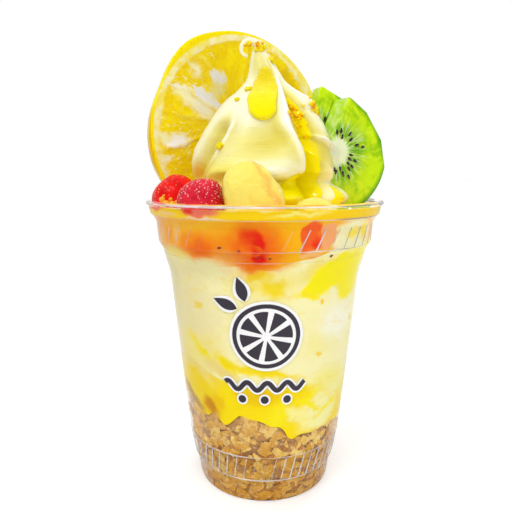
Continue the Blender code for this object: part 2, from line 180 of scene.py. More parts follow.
# Slices. The orange's outline is an oval made uneven, and fuller or flatter at its swells: angle and width
# in degrees, and a share of its size.
SLICE_COLUMNS, ORANGE_ROWS, KIWI_ROWS = 240, 64, 26
ORANGE_PLACE, ORANGE_YAW = (-11.4, 24, 149.6), 20
ORANGE_HALF_WIDTH, ORANGE_HALF_HEIGHT = 41.2, 44.5
ORANGE_THICKNESS, ORANGE_EDGE = 6.5, 0.7
ORANGE_UNEVENNESS, ORANGE_WIDEST = 0.014, 4.5
ORANGE_SWELLS = ((122, 14, 0.026), (153, 15, -0.03), (197, 20, 0.026), (64, 34, -0.016))
ORANGE_CORE = (-0.6, 4)  # where the segments meet
MEMBRANES = (16, 50, 84, 121, 150, 172, 198, 232, 268, 306, 340)  # their angles in degrees
RIND_DEPTH, PITH_DEPTH = 1.6, 2.6
KIWI_THICKNESS, KIWI_EDGE = 6.4, 0.8
KIWI_YAW = 24
KIWI_CORE = (4.3, 4.9)  # half sizes of the pale core
KIWI_MIDDLE = (0, 0.8)
KIWI_SEEDS, KIWI_SEED_RINGS = 34, (7.2, 8.6, 10.2, 12)
# flats are the cuts that bound a slice: angle and distance. slant moves the first one's back edge outwards.
# seeds are those on the front that the photo shows, across and up from the middle.
KIWIS = {
    "kiwi_front": {
        "node": "kiwi_slice_front",
        "place": (28.7, -1.1, 139.5),
        "radius": 24.8,
        "flats": ((156, 5), (84, 23.2), (56, 22.1), (36, 21.4), (12, 22.7)),
        "slant": 2.6,
        "seeds": (
            (-0.7, 8.7), (1.3, 9.3), (1.9, 7), (5.6, 8.2), (6.2, 6), (9.2, 3.8), (12.3, 3.1), (6.5, -0.3),
            (5.9, -2), (5.2, -3.8), (8.6, -2.7), (7.1, -5), (5.6, -6), (1.3, -6), (2.7, -8.1),
            (5.6, -9.3), (-0.8, -7.3),
        ),
        "random_seed": 3,
    },
    "kiwi_back": {
        "node": "kiwi_slice_back",
        "place": (20.6, 2.9, 144.6),
        "radius": 22.9,
        "flats": ((180, 1.5), (170, 2.7), (123, 17.7), (66, 21.5), (20, 21.5)),
        "slant": 0.4,
        "seeds": ((3.5, 9.4), (5.2, 7.6)),
        "random_seed": 8,
    },
}

# Berries and chunks, as in the solids: place, half sizes, turn in degrees, roundness, lumps, taper, lean.
BLOB_GRID, LUMP_SCALE = (48, 72), 0.11
BLOB_FACTS = ("place", "size", "turn", "roundness", "lumps", "taper", "lean")
BLOBS = {
    "strawberry_left": ((-35, -13.6, 121.4), (9.6, 8, 9.6), 10, 0.85, 0.12, 0.25, 0),
    "strawberry_right": ((-23.4, -30.7, 121.7), (8.6, 6.2, 8), -24, 0.78, 0.10, 0.12, 1),
    "peach_chunk": ((-4.3, -38.2, 123), (11, 5.6, 13.2), 4, 0.72, 0.10, 0.36, -3),
    "peach_chunk_small": ((17.2, -36, 119.2), (7.6, 4.8, 4.4), 26, 0.72, 0.10, 0.3, 0),
}
PEACH_NOISE = ((0.3, 0.35, 6), (0.5, 0.14, 2), (0.12, 0.9, 4))  # size, scale, seed
# Crumbs of orange flesh on the left berry's foot: places and sizes.
CRUMBS = (
    (-39.2, -20.6, 121.8, 1.5),
    (-37.6, -21.2, 120.4, 1.9),
    (-35.4, -21.6, 120, 1.7),
    (-33.4, -21.4, 120.8, 1.6),
    (-31.9, -20.9, 122.6, 1.5),
    (-31.4, -20.4, 124.2, 1),
    (-35.9, -21.6, 121.8, 0.9),
    (-38.6, -20.9, 123.2, 0.8),
)

# Print: pale shapes with dark ones on them, each proud of the wall from and to. Places are across and up.
PRINT_AZIMUTH, PRINT_HEIGHT = -2, 69
PALE_PROUD, INK_PROUD = (0.02, 0.07), (0.07, 0.12)
PALE, INK = (252, 252, 252), (44, 34, 50)
WHEEL, WHEEL_RADIUS, WHEEL_LINE, WHEEL_MARGIN = (1.5, 4), 12.5, 1.6, 1.1
WHEEL_SEGMENTS, WHEEL_TURN, SEGMENT_HALF_ANGLE, SEGMENT_LENGTH = 8, 12, 19, 8.1
LEAVES = ((-9, 14.5, 160), (-6, 17.5, 105))  # the foot's place and the heading in degrees
LEAF_LENGTH, LEAF_POINTS = 9, 16
PALE_LEAF, INK_LEAF = (1.6, 4.6), (0.3, 3.6)  # width at the ends, and how much more in the middle
WAVE_ENDS, WAVE_HEIGHT, WAVE_SIZE, WAVE_PITCH, WAVE_POINTS = (-15, 17), -16, 1.6, 0.8, 60
PALE_WAVE, INK_WAVE = 3.4, 1.9
DOTS, DOTS_HEIGHT, DOT_RADIUS, DOT_MARGIN = (-8, 1, 10), -21.5, 1.6, 0.7
PIN = 0.02  # radius of the hole at the middle of a disc

# Camera, fitted to the photo's rings: metres and degrees, for a picture 512 wide.
CAMERA_PLACE = (-0.00357, -0.2085, 0.1299)
CAMERA_PITCH = 9.09
CAMERA_FOCAL_PIXELS, PICTURE_WIDTH = 489.2, 512
SENSOR_WIDTH = 36

# Stage, in metres.
FLOOR_RADIUS, FLOOR_DROP = 30, 0.0002
FLOOR_LIFT = 0.35  # the camera sees the floor this much lighter than it lights the cup
SKY_LIGHT = 0.38
SKY_BEFORE, SKY_BEHIND = 0.09, 0.9  # what shiny surfaces mirror from before and behind the cup
# Soft boxes: name, place, size, power, whether shiny surfaces mirror it.
SOFT_BOXES = (
    ("key", (-0.3, -0.45, 0.6), 0.14, 0.8, True),
    ("fill", (0.38, -0.5, 0.3), 0.4, 1, False),
    ("back", (0.3, 0.5, 0.5), 0.4, 2, False),
)
LIT_PLACE = (0, 0, 0.12)
SUN_POWER, SUN_SPREAD, SUN_HEADING = 1.65, 60, (0.25, 0.32, -1)

# Colours of the contents.
CREAM = (253, 245, 184)
# Cream in painted shade, for the left of the cup.
CREAM_PAINTED_SHADE = (240, 227, 168)
LEMON = (255, 226, 0)
LEMON_BRIGHT = (255, 238, 8)
FRUIT_SAUCE = (254, 190, 22)
RIM_SAUCE = (255, 212, 4)

# Marbling seen through the front of the cup: azimuth, height, half sizes in degrees and millimetres, tilt in
# degrees, softness of the edge from 0 to 1, colour.
MARBLING = (
    # Painted shade on the cream at the left
    (-56, 76, 26, 24, 0, 0.6, CREAM_PAINTED_SHADE),
    (-68, 92, 10, 16, 0, 0.6, (232, 221, 162)),
    # Lemon sauce
    (6, 43.2, 45, 10.4, 0, 0.12, LEMON),
    (-4.5, 48.3, 12, 3.4, 0, 0.6, (246, 204, 0)),
    (8, 40, 9, 4, 10, 0.5, (255, 236, 20)),
    (39, 39.3, 18, 7.4, 6, 0.35, (254, 246, 168)),
    (22, 38.8, 8, 2.2, -24, 0.5, (254, 244, 150)),
    (30, 47, 12, 1.3, 8, 0.6, LEMON_BRIGHT),
    (30, 43, 10, 1.1, -12, 0.6, LEMON_BRIGHT),
    (48, 40.6, 13, 1.1, 10, 0.6, (255, 238, 60)),
    (62, 46, 8, 5, 0, 0.6, (252, 240, 120)),
    (-52, 57, 9, 3, -20, 0.7, (240, 212, 110)),
    (-48, 49, 14, 6, -16, 0.4, (246, 216, 6)),
    (-66, 38.5, 13, 6, 0, 0.6, (232, 212, 164)),
    (-56, 42.6, 13, 2.7, -24, 0.5, (194, 156, 76)),
    (-36.7, 40.5, 6.6, 3.4, -20, 0.6, (212, 142, 10)),
    (-32, 44.5, 5, 3, -30, 0.6, (244, 200, 0)),
    # Cream
    (-44, 63.9, 17, 6.6, 0, 0.7, (246, 230, 132)),
    (-42, 64.4, 13, 1.5, -22, 0.6, (250, 228, 36)),
    (-26.6, 56.6, 11, 3.2, -14, 0.6, (241, 218, 130)),
    (-2, 58.4, 22, 2.2, -7, 0.5, (252, 226, 14)),
    (-23, 60.4, 7, 2.8, -24, 0.5, (250, 224, 6)),
    (45, 52, 14, 4.6, 0, 0.7, (251, 240, 140)),
    (36, 69, 12, 5, 8, 0.8, (250, 240, 158)),
    (47, 76, 13, 8, 0, 0.6, (255, 251, 222)),
    (0, 92.5, 17, 5.5, 0, 0.7, (250, 232, 126)),
    (-2, 95.4, 6.5, 1.7, 4, 0.5, (246, 214, 40)),
    (6, 91, 4.6, 3.6, 0, 0.5, (247, 219, 40)),
    (-9.7, 90.7, 5.4, 1.5, -6, 0.6, (246, 220, 60)),
    (28.6, 97.3, 11, 3.2, 14, 0.6, (250, 230, 120)),
    (46, 97.2, 25, 7.4, 16, 0.14, (255, 240, 0)),
    (56, 91, 12, 6.6, 0, 0.2, (255, 240, 0)),
    (25, 89.8, 9, 2.6, 14, 0.3, (255, 240, 4)),
    (26.7, 87, 4.4, 1.6, -20, 0.5, (255, 236, 20)),
    (-36, 98.6, 18, 4, 0, 0.6, (236, 226, 166)),
    (-54, 102.4, 12, 2, 0, 0.6, (248, 228, 122)),
    # Fruit sauce
    (-52, 110.5, 24, 6.6, 0, 0.5, (250, 164, 22)),
    (-36, 113.6, 20, 2.6, 0, 0.7, (252, 188, 30)),
    (-62, 108, 5, 4, 20, 0.6, (248, 176, 40)),
    (-47, 109, 3, 3.6, 12, 0.7, (252, 190, 84)),
    (-11, 113.6, 15, 4, 0, 0.7, (254, 190, 20)),
    (10, 109.5, 10, 8.5, 0, 0.5, (255, 190, 4)),
    (-32, 106, 12, 4.2, 0, 0.7, (250, 138, 4)),
    (-7.2, 106.4, 15, 8, 0, 0.7, (245, 126, 2)),
    (-13, 101.5, 10, 2.6, -10, 0.7, (238, 150, 62)),
    (-3.6, 99.6, 7.5, 2.8, 0, 0.5, (243, 134, 12)),
    (-31.6, 104.9, 6.5, 2.6, 0, 0.6, (244, 108, 0)),
    (-5.6, 106.2, 8.5, 7, 0, 0.8, (240, 88, 2)),
    (-7.4, 110, 4.6, 2.4, 0, 0.6, (232, 54, 4)),
    (-4, 107, 2.6, 5, 5, 0.5, (229, 24, 0)),
    (-2.8, 102.6, 3.9, 2.5, 0, 0.4, (228, 10, 2)),
    (48, 109.2, 16, 6, 0, 0.25, (251, 243, 192)),
    (29.4, 110, 5.4, 5.2, 0, 0.12, (250, 172, 112)),
    (20.6, 109.4, 6, 6.4, 0, 0.1, (250, 96, 30)),
    (23.4, 106, 2.6, 3.4, 8, 0.7, (238, 50, 16)),
    (22, 103.9, 6, 1.6, 0, 0.4, (250, 190, 110)),
    (46, 111, 4, 1.6, 0, 0.7, (255, 232, 70)),
    (55, 110.6, 4, 3.4, -30, 0.6, (255, 226, 24)),
    # Drops of sauce
    (33.7, 84.6, 1.5, 0.9, 0, 0.5, (252, 204, 10)),
    (62, 74.3, 2.2, 1.3, 0, 0.5, (252, 222, 30)),
    (32.9, 64, 2.3, 0.9, 0, 0.6, (252, 210, 30)),
    (-40.2, 82.7, 2.2, 1, 0, 0.7, (244, 216, 90)),
)
# The same for what lies behind the rim.
RIM_MARBLING = (
    (-6, 119.6, 16, 0.8, 0, 0.6, (254, 238, 150)),
    (14, 117.6, 10, 0.7, 4, 0.7, (254, 236, 120)),
    (-50, 117, 6, 0.7, 0, 0.6, (252, 204, 130)),
    (-62, 119.2, 9, 1.2, 0, 0.6, (250, 116, 70)),
    (-29, 118.4, 8.8, 2, 0, 0.35, (245, 122, 96)),
    (-34, 118.6, 3, 1.5, 0, 0.6, (240, 56, 36)),
    # A thin pale line along the cup's step: a painted highlight.
    (-28, 115.9, 8, 0.4, 0, 0.6, (250, 214, 190)),
)
# Torn places and thick pith of the orange: across, up, half sizes in millimetres, tilt, softness, colour.
ORANGE_PATCHES = (
    (-23.5, 14.6, 7.5, 2.7, -34, 0.7, (250, 242, 190)),
    (-17.5, 10.2, 5, 3.2, -30, 0.6, (246, 240, 210)),
    (-15.6, 15.4, 8, 2.2, -34, 0.2, (236, 234, 232)),
    (-28.5, 19.2, 5, 0.8, -14, 0.5, (250, 246, 220)),
    (-10.4, 20.6, 3.2, 5.4, -14, 0.5, (236, 226, 150)),
    (-10.6, 24.4, 3.8, 2.4, -20, 0.3, (236, 232, 226)),
    (-20.4, 27, 2, 3, 30, 0.9, (246, 238, 190)),
    (-29.6, -3.6, 5.2, 2.9, 8, 0.4, (252, 248, 240)),
    (-35.6, -2.4, 3, 2, -30, 0.6, (250, 244, 190)),
    (-34, -11.8, 2.8, 1.4, 28, 0.5, (250, 244, 216)),
    (-29.5, 31.5, 9, 2.6, 48, 0.5, (240, 233, 200)),
    (-21.5, 37, 6, 2, 26, 0.5, (240, 233, 200)),
    (22, 24, 11, 3.4, -52, 0.6, (226, 190, 4)),
    (25.6, 30.4, 12, 1.4, -52, 0.5, (236, 228, 180)),
    (33.6, 15.4, 8, 1.4, -68, 0.5, (238, 230, 180)),
)


# ---------------------------------------------------------------- numbers

def blend(low, high, share):
    return low + (high - low) * share


def turns(count):
    """Azimuths in degrees, spread evenly right round."""
    return np.arange(count) * 360 / count


def wrapped(azimuth):
    """The same azimuth from -180 to 180."""
    return (azimuth + 180) % 360 - 180


def direction(azimuth):
    """Unit vectors in plan at azimuths in degrees."""
    angle = np.radians(azimuth)
    return np.stack([np.sin(angle), -np.cos(angle), np.zeros_like(angle)], axis=-1)


def hump(value, centre, width):
    """A smooth hump of height 1."""
    return np.exp(-(((value - centre) / width) ** 2))


def bump(azimuth, centre, width):
    """A smooth hump of height 1 round the axis, width in degrees."""
    return hump(wrapped(azimuth - centre), 0, width)


def spots(table, azimuth, height):
    """The sum of a table of humps: azimuth, height, half sizes, strength."""
    total = 0
    for centre, level, wide, tall, strength in table:
        total = total + strength * bump(azimuth, centre, wide) * hump(height, level, tall)
    return total


def smoothstep(low, high, value):
    share = np.clip((value - low) / (high - low), 0, 1)
    return share * share * (3 - 2 * share)


def window(value, start, full, fade, end):
    """Rises from 0 at start to 1 at full, and falls from fade to 0 at end."""
    return smoothstep(start, full, value) * smoothstep(end, fade, value)


def wave(azimuth, *terms):
    """A sum of waves round the axis: size, how many, phase in degrees."""
    return sum(size * np.sin(np.radians(count * azimuth + phase)) for size, count, phase in terms)


def read_smooth(table, height, column=1):
    """Reads a table of stations along a smooth curve through them."""
    xs = np.array([row[0] for row in table])
    ys = np.array([row[column] for row in table])
    slopes = np.gradient(ys, xs)
    height = np.clip(height, xs[0], xs[-1])
    i = np.clip(np.searchsorted(xs, height) - 1, 0, len(xs) - 2)
    step = xs[i + 1] - xs[i]
    t = (height - xs[i]) / step
    rise = ys[i] * (1 + 2 * t) * (1 - t) ** 2 + ys[i + 1] * t * t * (3 - 2 * t)
    return rise + step * (slopes[i] * t * (1 - t) ** 2 - slopes[i + 1] * t * t * (1 - t))


def noise_at(points, scale, seed=0, heading=(1, 1.7, -1)):
    """Smooth noise from about -1 to 1 at each point. seed moves the points along heading."""
    shift = Vector([seed * share for share in heading])
    values = [noise.noise(Vector(p) * scale + shift) for p in points.reshape(-1, 3)]
    return np.array(values).reshape(points.shape[:-1])


def unit(vectors):
    return vectors / np.linalg.norm(vectors, axis=-1, keepdims=True)


# ---------------------------------------------------------------- meshes

def grid_faces(rows, columns, wrap=True, closed=False):
    """Quads of a grid of points. wrap joins each row's ends, and closed the last row to the first."""
    faces = []
    for row in range(rows if closed else rows - 1):
        low, high = row * columns, (row + 1) % rows * columns
        for column in range(columns if wrap else columns - 1):
            after = (column + 1) % columns
            faces.append((low + column, low + after, high + after, high + column))
    return faces


def skin(rings, start=None, end=None):
    """A closed skin over rings of points, with a fan at each end to a point, or else to the middle."""
    rings = np.asarray(rings)
    rows, columns = rings.shape[:2]
    start = rings[0].mean(axis=0) if start is None else start
    end = rings[-1].mean(axis=0) if end is None else end
    points = np.concatenate([rings.reshape(-1, 3), [start], [end]])
    faces = grid_faces(rows, columns)
    first, last = rows * columns, rows * columns + 1
    for i in range(columns):
        j = (i + 1) % columns
        faces.append((first, j, i))
        faces.append((last, first - columns + i, first - columns + j))
    return points, faces


def joined(parts):
    """Several (points, faces) as one."""
    points, faces, count = [], [], 0
    for part_points, part_faces in parts:
        points.append(part_points)
        faces += [tuple(count + i for i in face) for face in part_faces]
        count += len(part_points)
    return np.concatenate(points), faces


def make_piece(name, shape, material, replaces=None, place=None, yaw=0, smooth=60, hollow=None):
    """A mesh piece that rides on the cup; shape is (points in millimetres, faces).

    hollow gives each point how much painted shade its material lays on: its depth in a crease from 0 to 1
    with painted shading added, below 0 for painted highlights.
    """
    points, faces = shape
    mesh = bpy.data.meshes.new(name)
    mesh.from_pydata((np.asarray(points) * MM).tolist(), [], faces)
    mesh.shade_smooth()
    mesh.set_sharp_from_angle(angle=math.radians(smooth))
    mesh.materials.append(material)
    if hollow is not None:
        values = mesh.attributes.new("hollow", "FLOAT", "POINT")
        values.data.foreach_set("value", hollow)
    piece = bpy.data.objects.new(name, mesh)
    bpy.context.scene.collection.objects.link(piece)
    if place is not None:
        piece.location = Vector(place) * MM
        piece.rotation_euler = (0, 0, math.radians(yaw))
    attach(piece, "root")
    if replaces:
        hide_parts(replaces)
    return piece


def globe(rows, columns):
    """Grids of latitude and longitude in radians, without the poles."""
    lift = np.linspace(-math.pi / 2, math.pi / 2, rows + 2)[1:-1]
    return np.meshgrid(lift, np.radians(turns(columns)), indexing="ij")


def lump(centre, size, rng, rows=7, columns=10):
    """A small ragged ball."""
    lift, around = globe(rows, columns)
    ball = np.stack([np.cos(lift) * np.cos(around), np.cos(lift) * np.sin(around), np.sin(lift)], axis=-1)
    swell = 1 + 0.4 * noise_at(ball, 1, rng.uniform(0, 100))
    squash = np.array([rng.uniform(0.7, 1.2), rng.uniform(0.7, 1.2), rng.uniform(0.5, 0.9)]) * size
    centre, pole = np.asarray(centre), np.array([0, 0, squash[2]])
    return skin(ball * swell[..., None] * squash + centre, centre - pole, centre + pole)


# ---------------------------------------------------------------- materials

def linear(red, green, blue):
    """A screen colour as the linear colour that shaders take."""
    def one(value):
        value /= 255
        return value / 12.92 if value <= 0.04045 else ((value + 0.055) / 1.055) ** 2.4

    return (one(red), one(green), one(blue), 1)


class Nodes:
    """A node tree whose nodes are added by short calls. A value is a number or a socket."""

    def __init__(self, tree):
        self.tree = tree

    def feed(self, socket, value):
        if isinstance(value, bpy.types.NodeSocket):
            self.tree.links.new(value, socket)
        else:
            socket.default_value = value

    def add(self, kind, inputs, output=0, **settings):
        node = self.tree.nodes.new(kind)
        for key, value in settings.items():
            setattr(node, key, value)
        for key, value in inputs.items():
            self.feed(node.inputs[key], value)
        return node.outputs[output]

    def math(self, operation, first, second=0, third=0):
        return self.add("ShaderNodeMath", {0: first, 1: second, 2: third}, operation=operation)

    def times(self, first, second):
        return self.math("MULTIPLY", first, second)

    def vector(self, operation, first, second):
        return self.add("ShaderNodeVectorMath", {0: first, 1: second}, operation=operation)

    def length(self, vector):
        return self.add("ShaderNodeVectorMath", {0: vector}, "Value", operation="LENGTH")

    def join(self, x, y):
        return self.add("ShaderNodeCombineXYZ", {0: x, 1: y})

    def ramp(self, value, low, high):
        """0 below low to 1 above high, smoothly; low may be the larger."""
        inputs = {"Value": value, "From Min": low, "From Max": high}
        return self.add("ShaderNodeMapRange", inputs, interpolation_type="SMOOTHSTEP")

    def window(self, value, start, full, fade, end):
        """Rises from 0 at start to 1 at full, and falls from fade to 0 at end."""
        return self.times(self.ramp(value, start, full), self.ramp(value, end, fade))

    def between(self, share, low, high, start=0, end=1):
        """low where share is at start, high where it is at end."""
        inputs = {"Value": share, "From Min": start, "From Max": end, "To Min": low, "To Max": high}
        return self.add("ShaderNodeMapRange", inputs)

    def rays(self):
        """The kinds of ray, each 1 or 0."""
        return self.tree.nodes.new("ShaderNodeLightPath").outputs

    def seen(self, rays):
        """Whether a ray comes from the camera, perhaps through clear plastic."""
        return self.math("MAXIMUM", rays["Is Camera Ray"], rays["Is Transmission Ray"])


SOCKETS = {
    "specular": "Specular IOR Level",
    "coat": "Coat Weight",
    "coat_roughness": "Coat Roughness",
    "clearness": "Transmission Weight",
    "bend": "IOR",
    "cover": "Alpha",
}


class Looks(Nodes):
    """A material painted in layers, on coordinates in millimetres. colour is what is painted so far."""

    def __init__(self, name, colour, roughness):
        self.material = bpy.data.materials.new(name)
        self.material.use_nodes = True
        super().__init__(self.material.node_tree)
        self.shader = self.tree.nodes["Principled BSDF"]
        self.colour = colour
        self.set("Roughness", roughness)
        metres = self.add("ShaderNodeTexCoord", {}, "Object")
        self.spot = self.vector("MULTIPLY", metres, (1 / MM, 1 / MM, 1 / MM))
        self.x, self.y, self.z = self.add("ShaderNodeSeparateXYZ", {0: self.spot}).node.outputs

    def set(self, name, value):
        self.feed(self.shader.inputs[name], value)

    def flattened(self, times):
        """Coordinates on which what is painted comes out flatter, or taller if times is below 1."""
        return self.vector("MULTIPLY", self.spot, (1, 1, times))

    def noise(self, scale, detail, over=None, distortion=0):
        inputs = {"Vector": over or self.spot, "Scale": scale, "Detail": detail, "Distortion": distortion}
        return self.add("ShaderNodeTexNoise", inputs, "Fac")

    def cloud(self, scale, detail, low, high, over=None, distortion=0):
        """Soft patches: 0 where the noise is below low, 1 where it is above high."""
        return self.ramp(self.noise(scale, detail, over, distortion), low, high)

    def uneven(self, value, scale, detail, reach, over=None):
        """A value made uneven by noise, by up to reach each way."""
        shift = self.math("MULTIPLY_ADD", self.noise(scale, detail, over), 2 * reach, -reach)
        return self.math("ADD", value, shift)

    def wander(self, place, over, scale, detail, reach):
        """Places moved about by noise, by up to half of reach along each axis."""
        shift = self.add("ShaderNodeTexNoise", {"Vector": over, "Scale": scale, "Detail": detail}, "Color")
        shift = self.vector("SUBTRACT", shift, (0.5, 0.5, 0.5))
        return self.vector("ADD", place, self.vector("MULTIPLY", shift, reach))

    def mix(self, share, low, high):
        """A blend of two colours, each a screen colour or a socket."""
        low, high = (linear(*c) if isinstance(c, tuple) else c for c in (low, high))
        return self.add("ShaderNodeMix", {0: share, 6: low, 7: high}, 2, data_type="RGBA")

    def paint(self, mask, colour, strength=1):
        """Lays a colour over what is painted so far, where mask is above 0."""
        self.colour = self.mix(self.times(mask, strength), self.colour, colour)

    def marble(self, place, patches):
        """Paints soft oval patches: middle, half sizes, tilt in degrees, softness, colour."""
        for across, up, wide, tall, tilt, soft, colour in patches:
            inputs = {
                "Vector": place,
                "Location": (across, up, 0),
                "Rotation": (0, 0, math.radians(tilt)),
                "Scale": (wide, tall, 1),
            }
            away = self.length(self.add("ShaderNodeMapping", inputs, vector_type="TEXTURE"))
            self.paint(self.ramp(away, 1 + soft, 1 - soft), colour)

    def polar(self, centre):
        """Angle in radians and distance in millimetres in a slice's own plane."""
        across = self.math("SUBTRACT", self.x, centre[0])
        up = self.math("SUBTRACT", self.z, centre[1])
        return self.math("ARCTAN2", up, across), self.length(self.join(across, up))

    def relief(self, height, depth):
        """Bumps the surface by depth millimetres where height goes from 0 to 1."""
        inputs = {"Height": height, "Distance": depth * MM, "Strength": 1}
        self.set("Normal", self.add("ShaderNodeBump", inputs))

    def glow(self, weight, reach, scale):
        """Light scatters inside: reach is its share of red, green and blue, scale in millimetres."""
        self.set("Subsurface Weight", weight)
        self.set("Subsurface Radius", reach)
        self.set("Subsurface Scale", scale * MM)

    def let_light_in(self):
        """Shadow and bounce rays pass straight through, so that what is behind stays lit."""
        rays = self.rays()
        through = self.math("MAXIMUM", rays["Is Shadow Ray"], rays["Is Diffuse Ray"])
        clear = self.add("ShaderNodeBsdfTransparent", {})
        mixed = self.add("ShaderNodeMixShader", {0: through, 1: self.shader.outputs[0], 2: clear})
        self.feed(self.tree.nodes["Material Output"].inputs["Surface"], mixed)

    def finish(self, **settings):
        """Gives the shader its colour and the settings named in SOCKETS."""
        self.set("Base Color", linear(*self.colour) if isinstance(self.colour, tuple) else self.colour)
        for name, value in settings.items():
            self.set(SOCKETS[name], value)
        return self.material


def clear_plastic():
    looks = Looks("clear_plastic", (255, 255, 255), 0.03)
    looks.let_light_in()
    return looks.finish(clearness=1, bend=1.2)


def rib_plastic():
    """The moulded ribs and lines catch the light, with a painted grey shade high on the right."""
    looks = Looks("rib_plastic", (250, 250, 252), 0.12)
    # Painted grey shade high on the right, and a patchy grey at random everywhere.
    right = looks.times(looks.ramp(looks.x, 21, 30), looks.ramp(looks.z, 60, 90))
    patchy = looks.times(looks.cloud(0.12, 3, 0.4, 0.6), 0.3)
    looks.paint(looks.math("MAXIMUM", looks.times(right, 0.85), patchy), (128, 128, 140))
    return looks.finish(cover=0.55, coat=0.6)


def fill_material(name, colour, second, roughness, drift, wisp):
    """Contents seen through the wall: a mottled base with marbling over it, at the back as at the front.

    drift is how far its edges wander, as a share, and wisp is the colour of its fine wisps.
    """
    looks = Looks(name, colour, roughness)
    turn = looks.math("ARCTAN2", looks.x, looks.times(looks.y, -1))
    azimuth = looks.math("MULTIPLY_ADD", turn, 180 / math.pi, 90)
    folded = looks.math("SUBTRACT", looks.math("PINGPONG", azimuth, 180), 90)
    place = looks.join(folded, looks.z)
    for scale, across, along in ((0.09, 17, 9), (0.45, 5, 3.2)):
        place = looks.wander(place, looks.spot, scale, 3, (across * drift, along * drift, 0))
    looks.paint(looks.cloud(0.06, 4, 0.52, 0.74, distortion=1.2), second)
    looks.marble(place, MARBLING)
    looks.paint(looks.cloud(0.13, 6, 0.48, 0.3, looks.flattened(2.6), 1.4), wisp, 0.3)
    below_rim = looks.colour
    looks.colour = RIM_SAUCE
    looks.marble(place, RIM_MARBLING)
    pools = looks.mix(looks.cloud(0.07, 4, 0.4, 0.62, distortion=1.2), (255, 214, 24), (248, 158, 20))
    aside = looks.vector("ADD", looks.spot, (60, 0, 0))
    top = looks.mix(looks.cloud(0.06, 4, 0.54, 0.64, aside, 1.6), pools, (252, 238, 170))
    looks.paint(looks.ramp(looks.length(looks.join(looks.x, looks.y)), *TOP_STARTS), top)
    at_rim = looks.ramp(looks.uneven(looks.z, 0.15, 2, 1), *RIM_STARTS)
    looks.colour = looks.mix(at_rim, below_rim, looks.colour)
    looks.glow(0.1, (1, 0.8, 0.3), 1.5)
    looks.relief(looks.noise(0.5, 3), 0.2)
    return looks.finish(specular=0.06)


def soft_serve_material():
    """Cream with a painted yellow shade in its hollows, painted highlights on its ridges and higher up,
    lemon yellow where sauce soaks in, and a painted yellow glow low at the front left.
    """
    looks = Looks("soft_serve", (250, 244, 190), 0.32)
    hollow = looks.add("ShaderNodeAttribute", {}, "Fac", attribute_name="hollow")
    depth = looks.uneven(hollow, 0.08, 3, 0.1)
    # Painted light: whiter higher up.
    looks.paint(looks.ramp(looks.z, 132, 164), (252, 249, 216))
    # Painted shade, yellower the deeper the hollow, and lemon yellow where sauce soaks in; below 0 a whiter
    # painted highlight.
    for low, high, colour in (
        (0.02, 0.45, (236, 226, 132)),
        (0.4, 0.9, (222, 206, 82)),
        (0.9, 1.4, (244, 226, 10)),
        (-0.1, -0.5, (255, 254, 242)),
    ):
        looks.paint(looks.ramp(depth, low, high), colour)
    looks.paint(looks.cloud(0.12, 3, 0.5, 0.8, looks.flattened(5), 0.4), (248, 238, 168), 0.3)
    # Painted yellow glow low at the front left.
    left = looks.times(looks.ramp(looks.x, -3, -13), looks.ramp(looks.z, 140, 131.5))
    looks.paint(looks.times(left, looks.ramp(looks.y, 2, -8)), (250, 242, 40), 0.8)
    looks.glow(0.08, (1, 0.97, 0.6), 1.2)
    looks.relief(looks.noise(0.25, 4, looks.flattened(7)), 0.2)
    return looks.finish(specular=0.4, coat=0.2, coat_roughness=0.25)


def lemon_glaze_material():
    """Lemon sauce: paler where it is thin towards the tip, with fine air bubbles."""
    looks = Looks("lemon_glaze", (230, 206, 20), 0.1)
    height = looks.uneven(looks.z, 0.2, 3, 4)
    looks.paint(looks.ramp(height, 170, 158), (250, 234, 0))
    looks.paint(looks.ramp(height, 171, 178), (238, 228, 140))
    looks.paint(looks.cloud(0.3, 3, 0.5, 0.7), (246, 216, 0), 0.5)
    bubbles = looks.add("ShaderNodeTexVoronoi", {"Vector": looks.spot, "Scale": 0.5}, "Distance")
    bubbles = looks.times(looks.ramp(bubbles, 0.16, 0.1), looks.ramp(looks.z, 156, 160))
    looks.paint(bubbles, (255, 250, 150))
    looks.glow(0.1, (1, 0.95, 0.05), 2)
    looks.relief(looks.noise(0.6, 2), 0.12)
    return looks.finish(specular=0.3, coat=0.1)


def zest_material():
    """Yellow crumbs, some of them orange at the right and on the tip."""
    looks = Looks("zest", (255, 230, 20), 0.35)
    ripe = looks.math("MAXIMUM", looks.ramp(looks.x, 4, 10), looks.ramp(looks.z, 176, 178))
    looks.paint(looks.times(looks.cloud(0.5, 1, 0.46, 0.62), ripe), (255, 172, 0))
    looks.glow(0.3, (1, 0.8, 0.1), 1)
    looks.relief(looks.noise(1, 2), 0.04)
    return looks.finish(specular=0.2)


def cereal_material(name, light, dark):
    """Toasted cereal: paler and duller at the top, from cream on it and a painted reflection of the wall,
    deeper gold behind the ribbed band.
    """
    looks = Looks(name, light, 0.55)
    looks.paint(looks.cloud(0.5, 5, 0.36, 0.66), dark)
    looks.paint(looks.cloud(0.3, 3, 0.5, 0.66), (168, 112, 48), 0.35)
    # Paler at the top: cream on it, and a painted reflection of the wall.
    looks.paint(looks.ramp(looks.uneven(looks.z, 0.12, 3, 8), 20, 34), (224, 184, 120), 0.36)
    looks.paint(looks.window(looks.z, 10.4, 12, 21, 22.6), (196, 142, 44), 0.4)
    looks.paint(looks.ramp(looks.z, 11, 9), (204, 140, 34), 0.5)
    looks.paint(looks.cloud(0.9, 5, 0.54, 0.72), (160, 100, 44), 0.45)
    looks.paint(looks.cloud(0.6, 5, 0.56, 0.72), (250, 218, 150), 0.6)
    looks.relief(looks.noise(1.2, 5), 0.35)
    return looks.finish(specular=0.2)


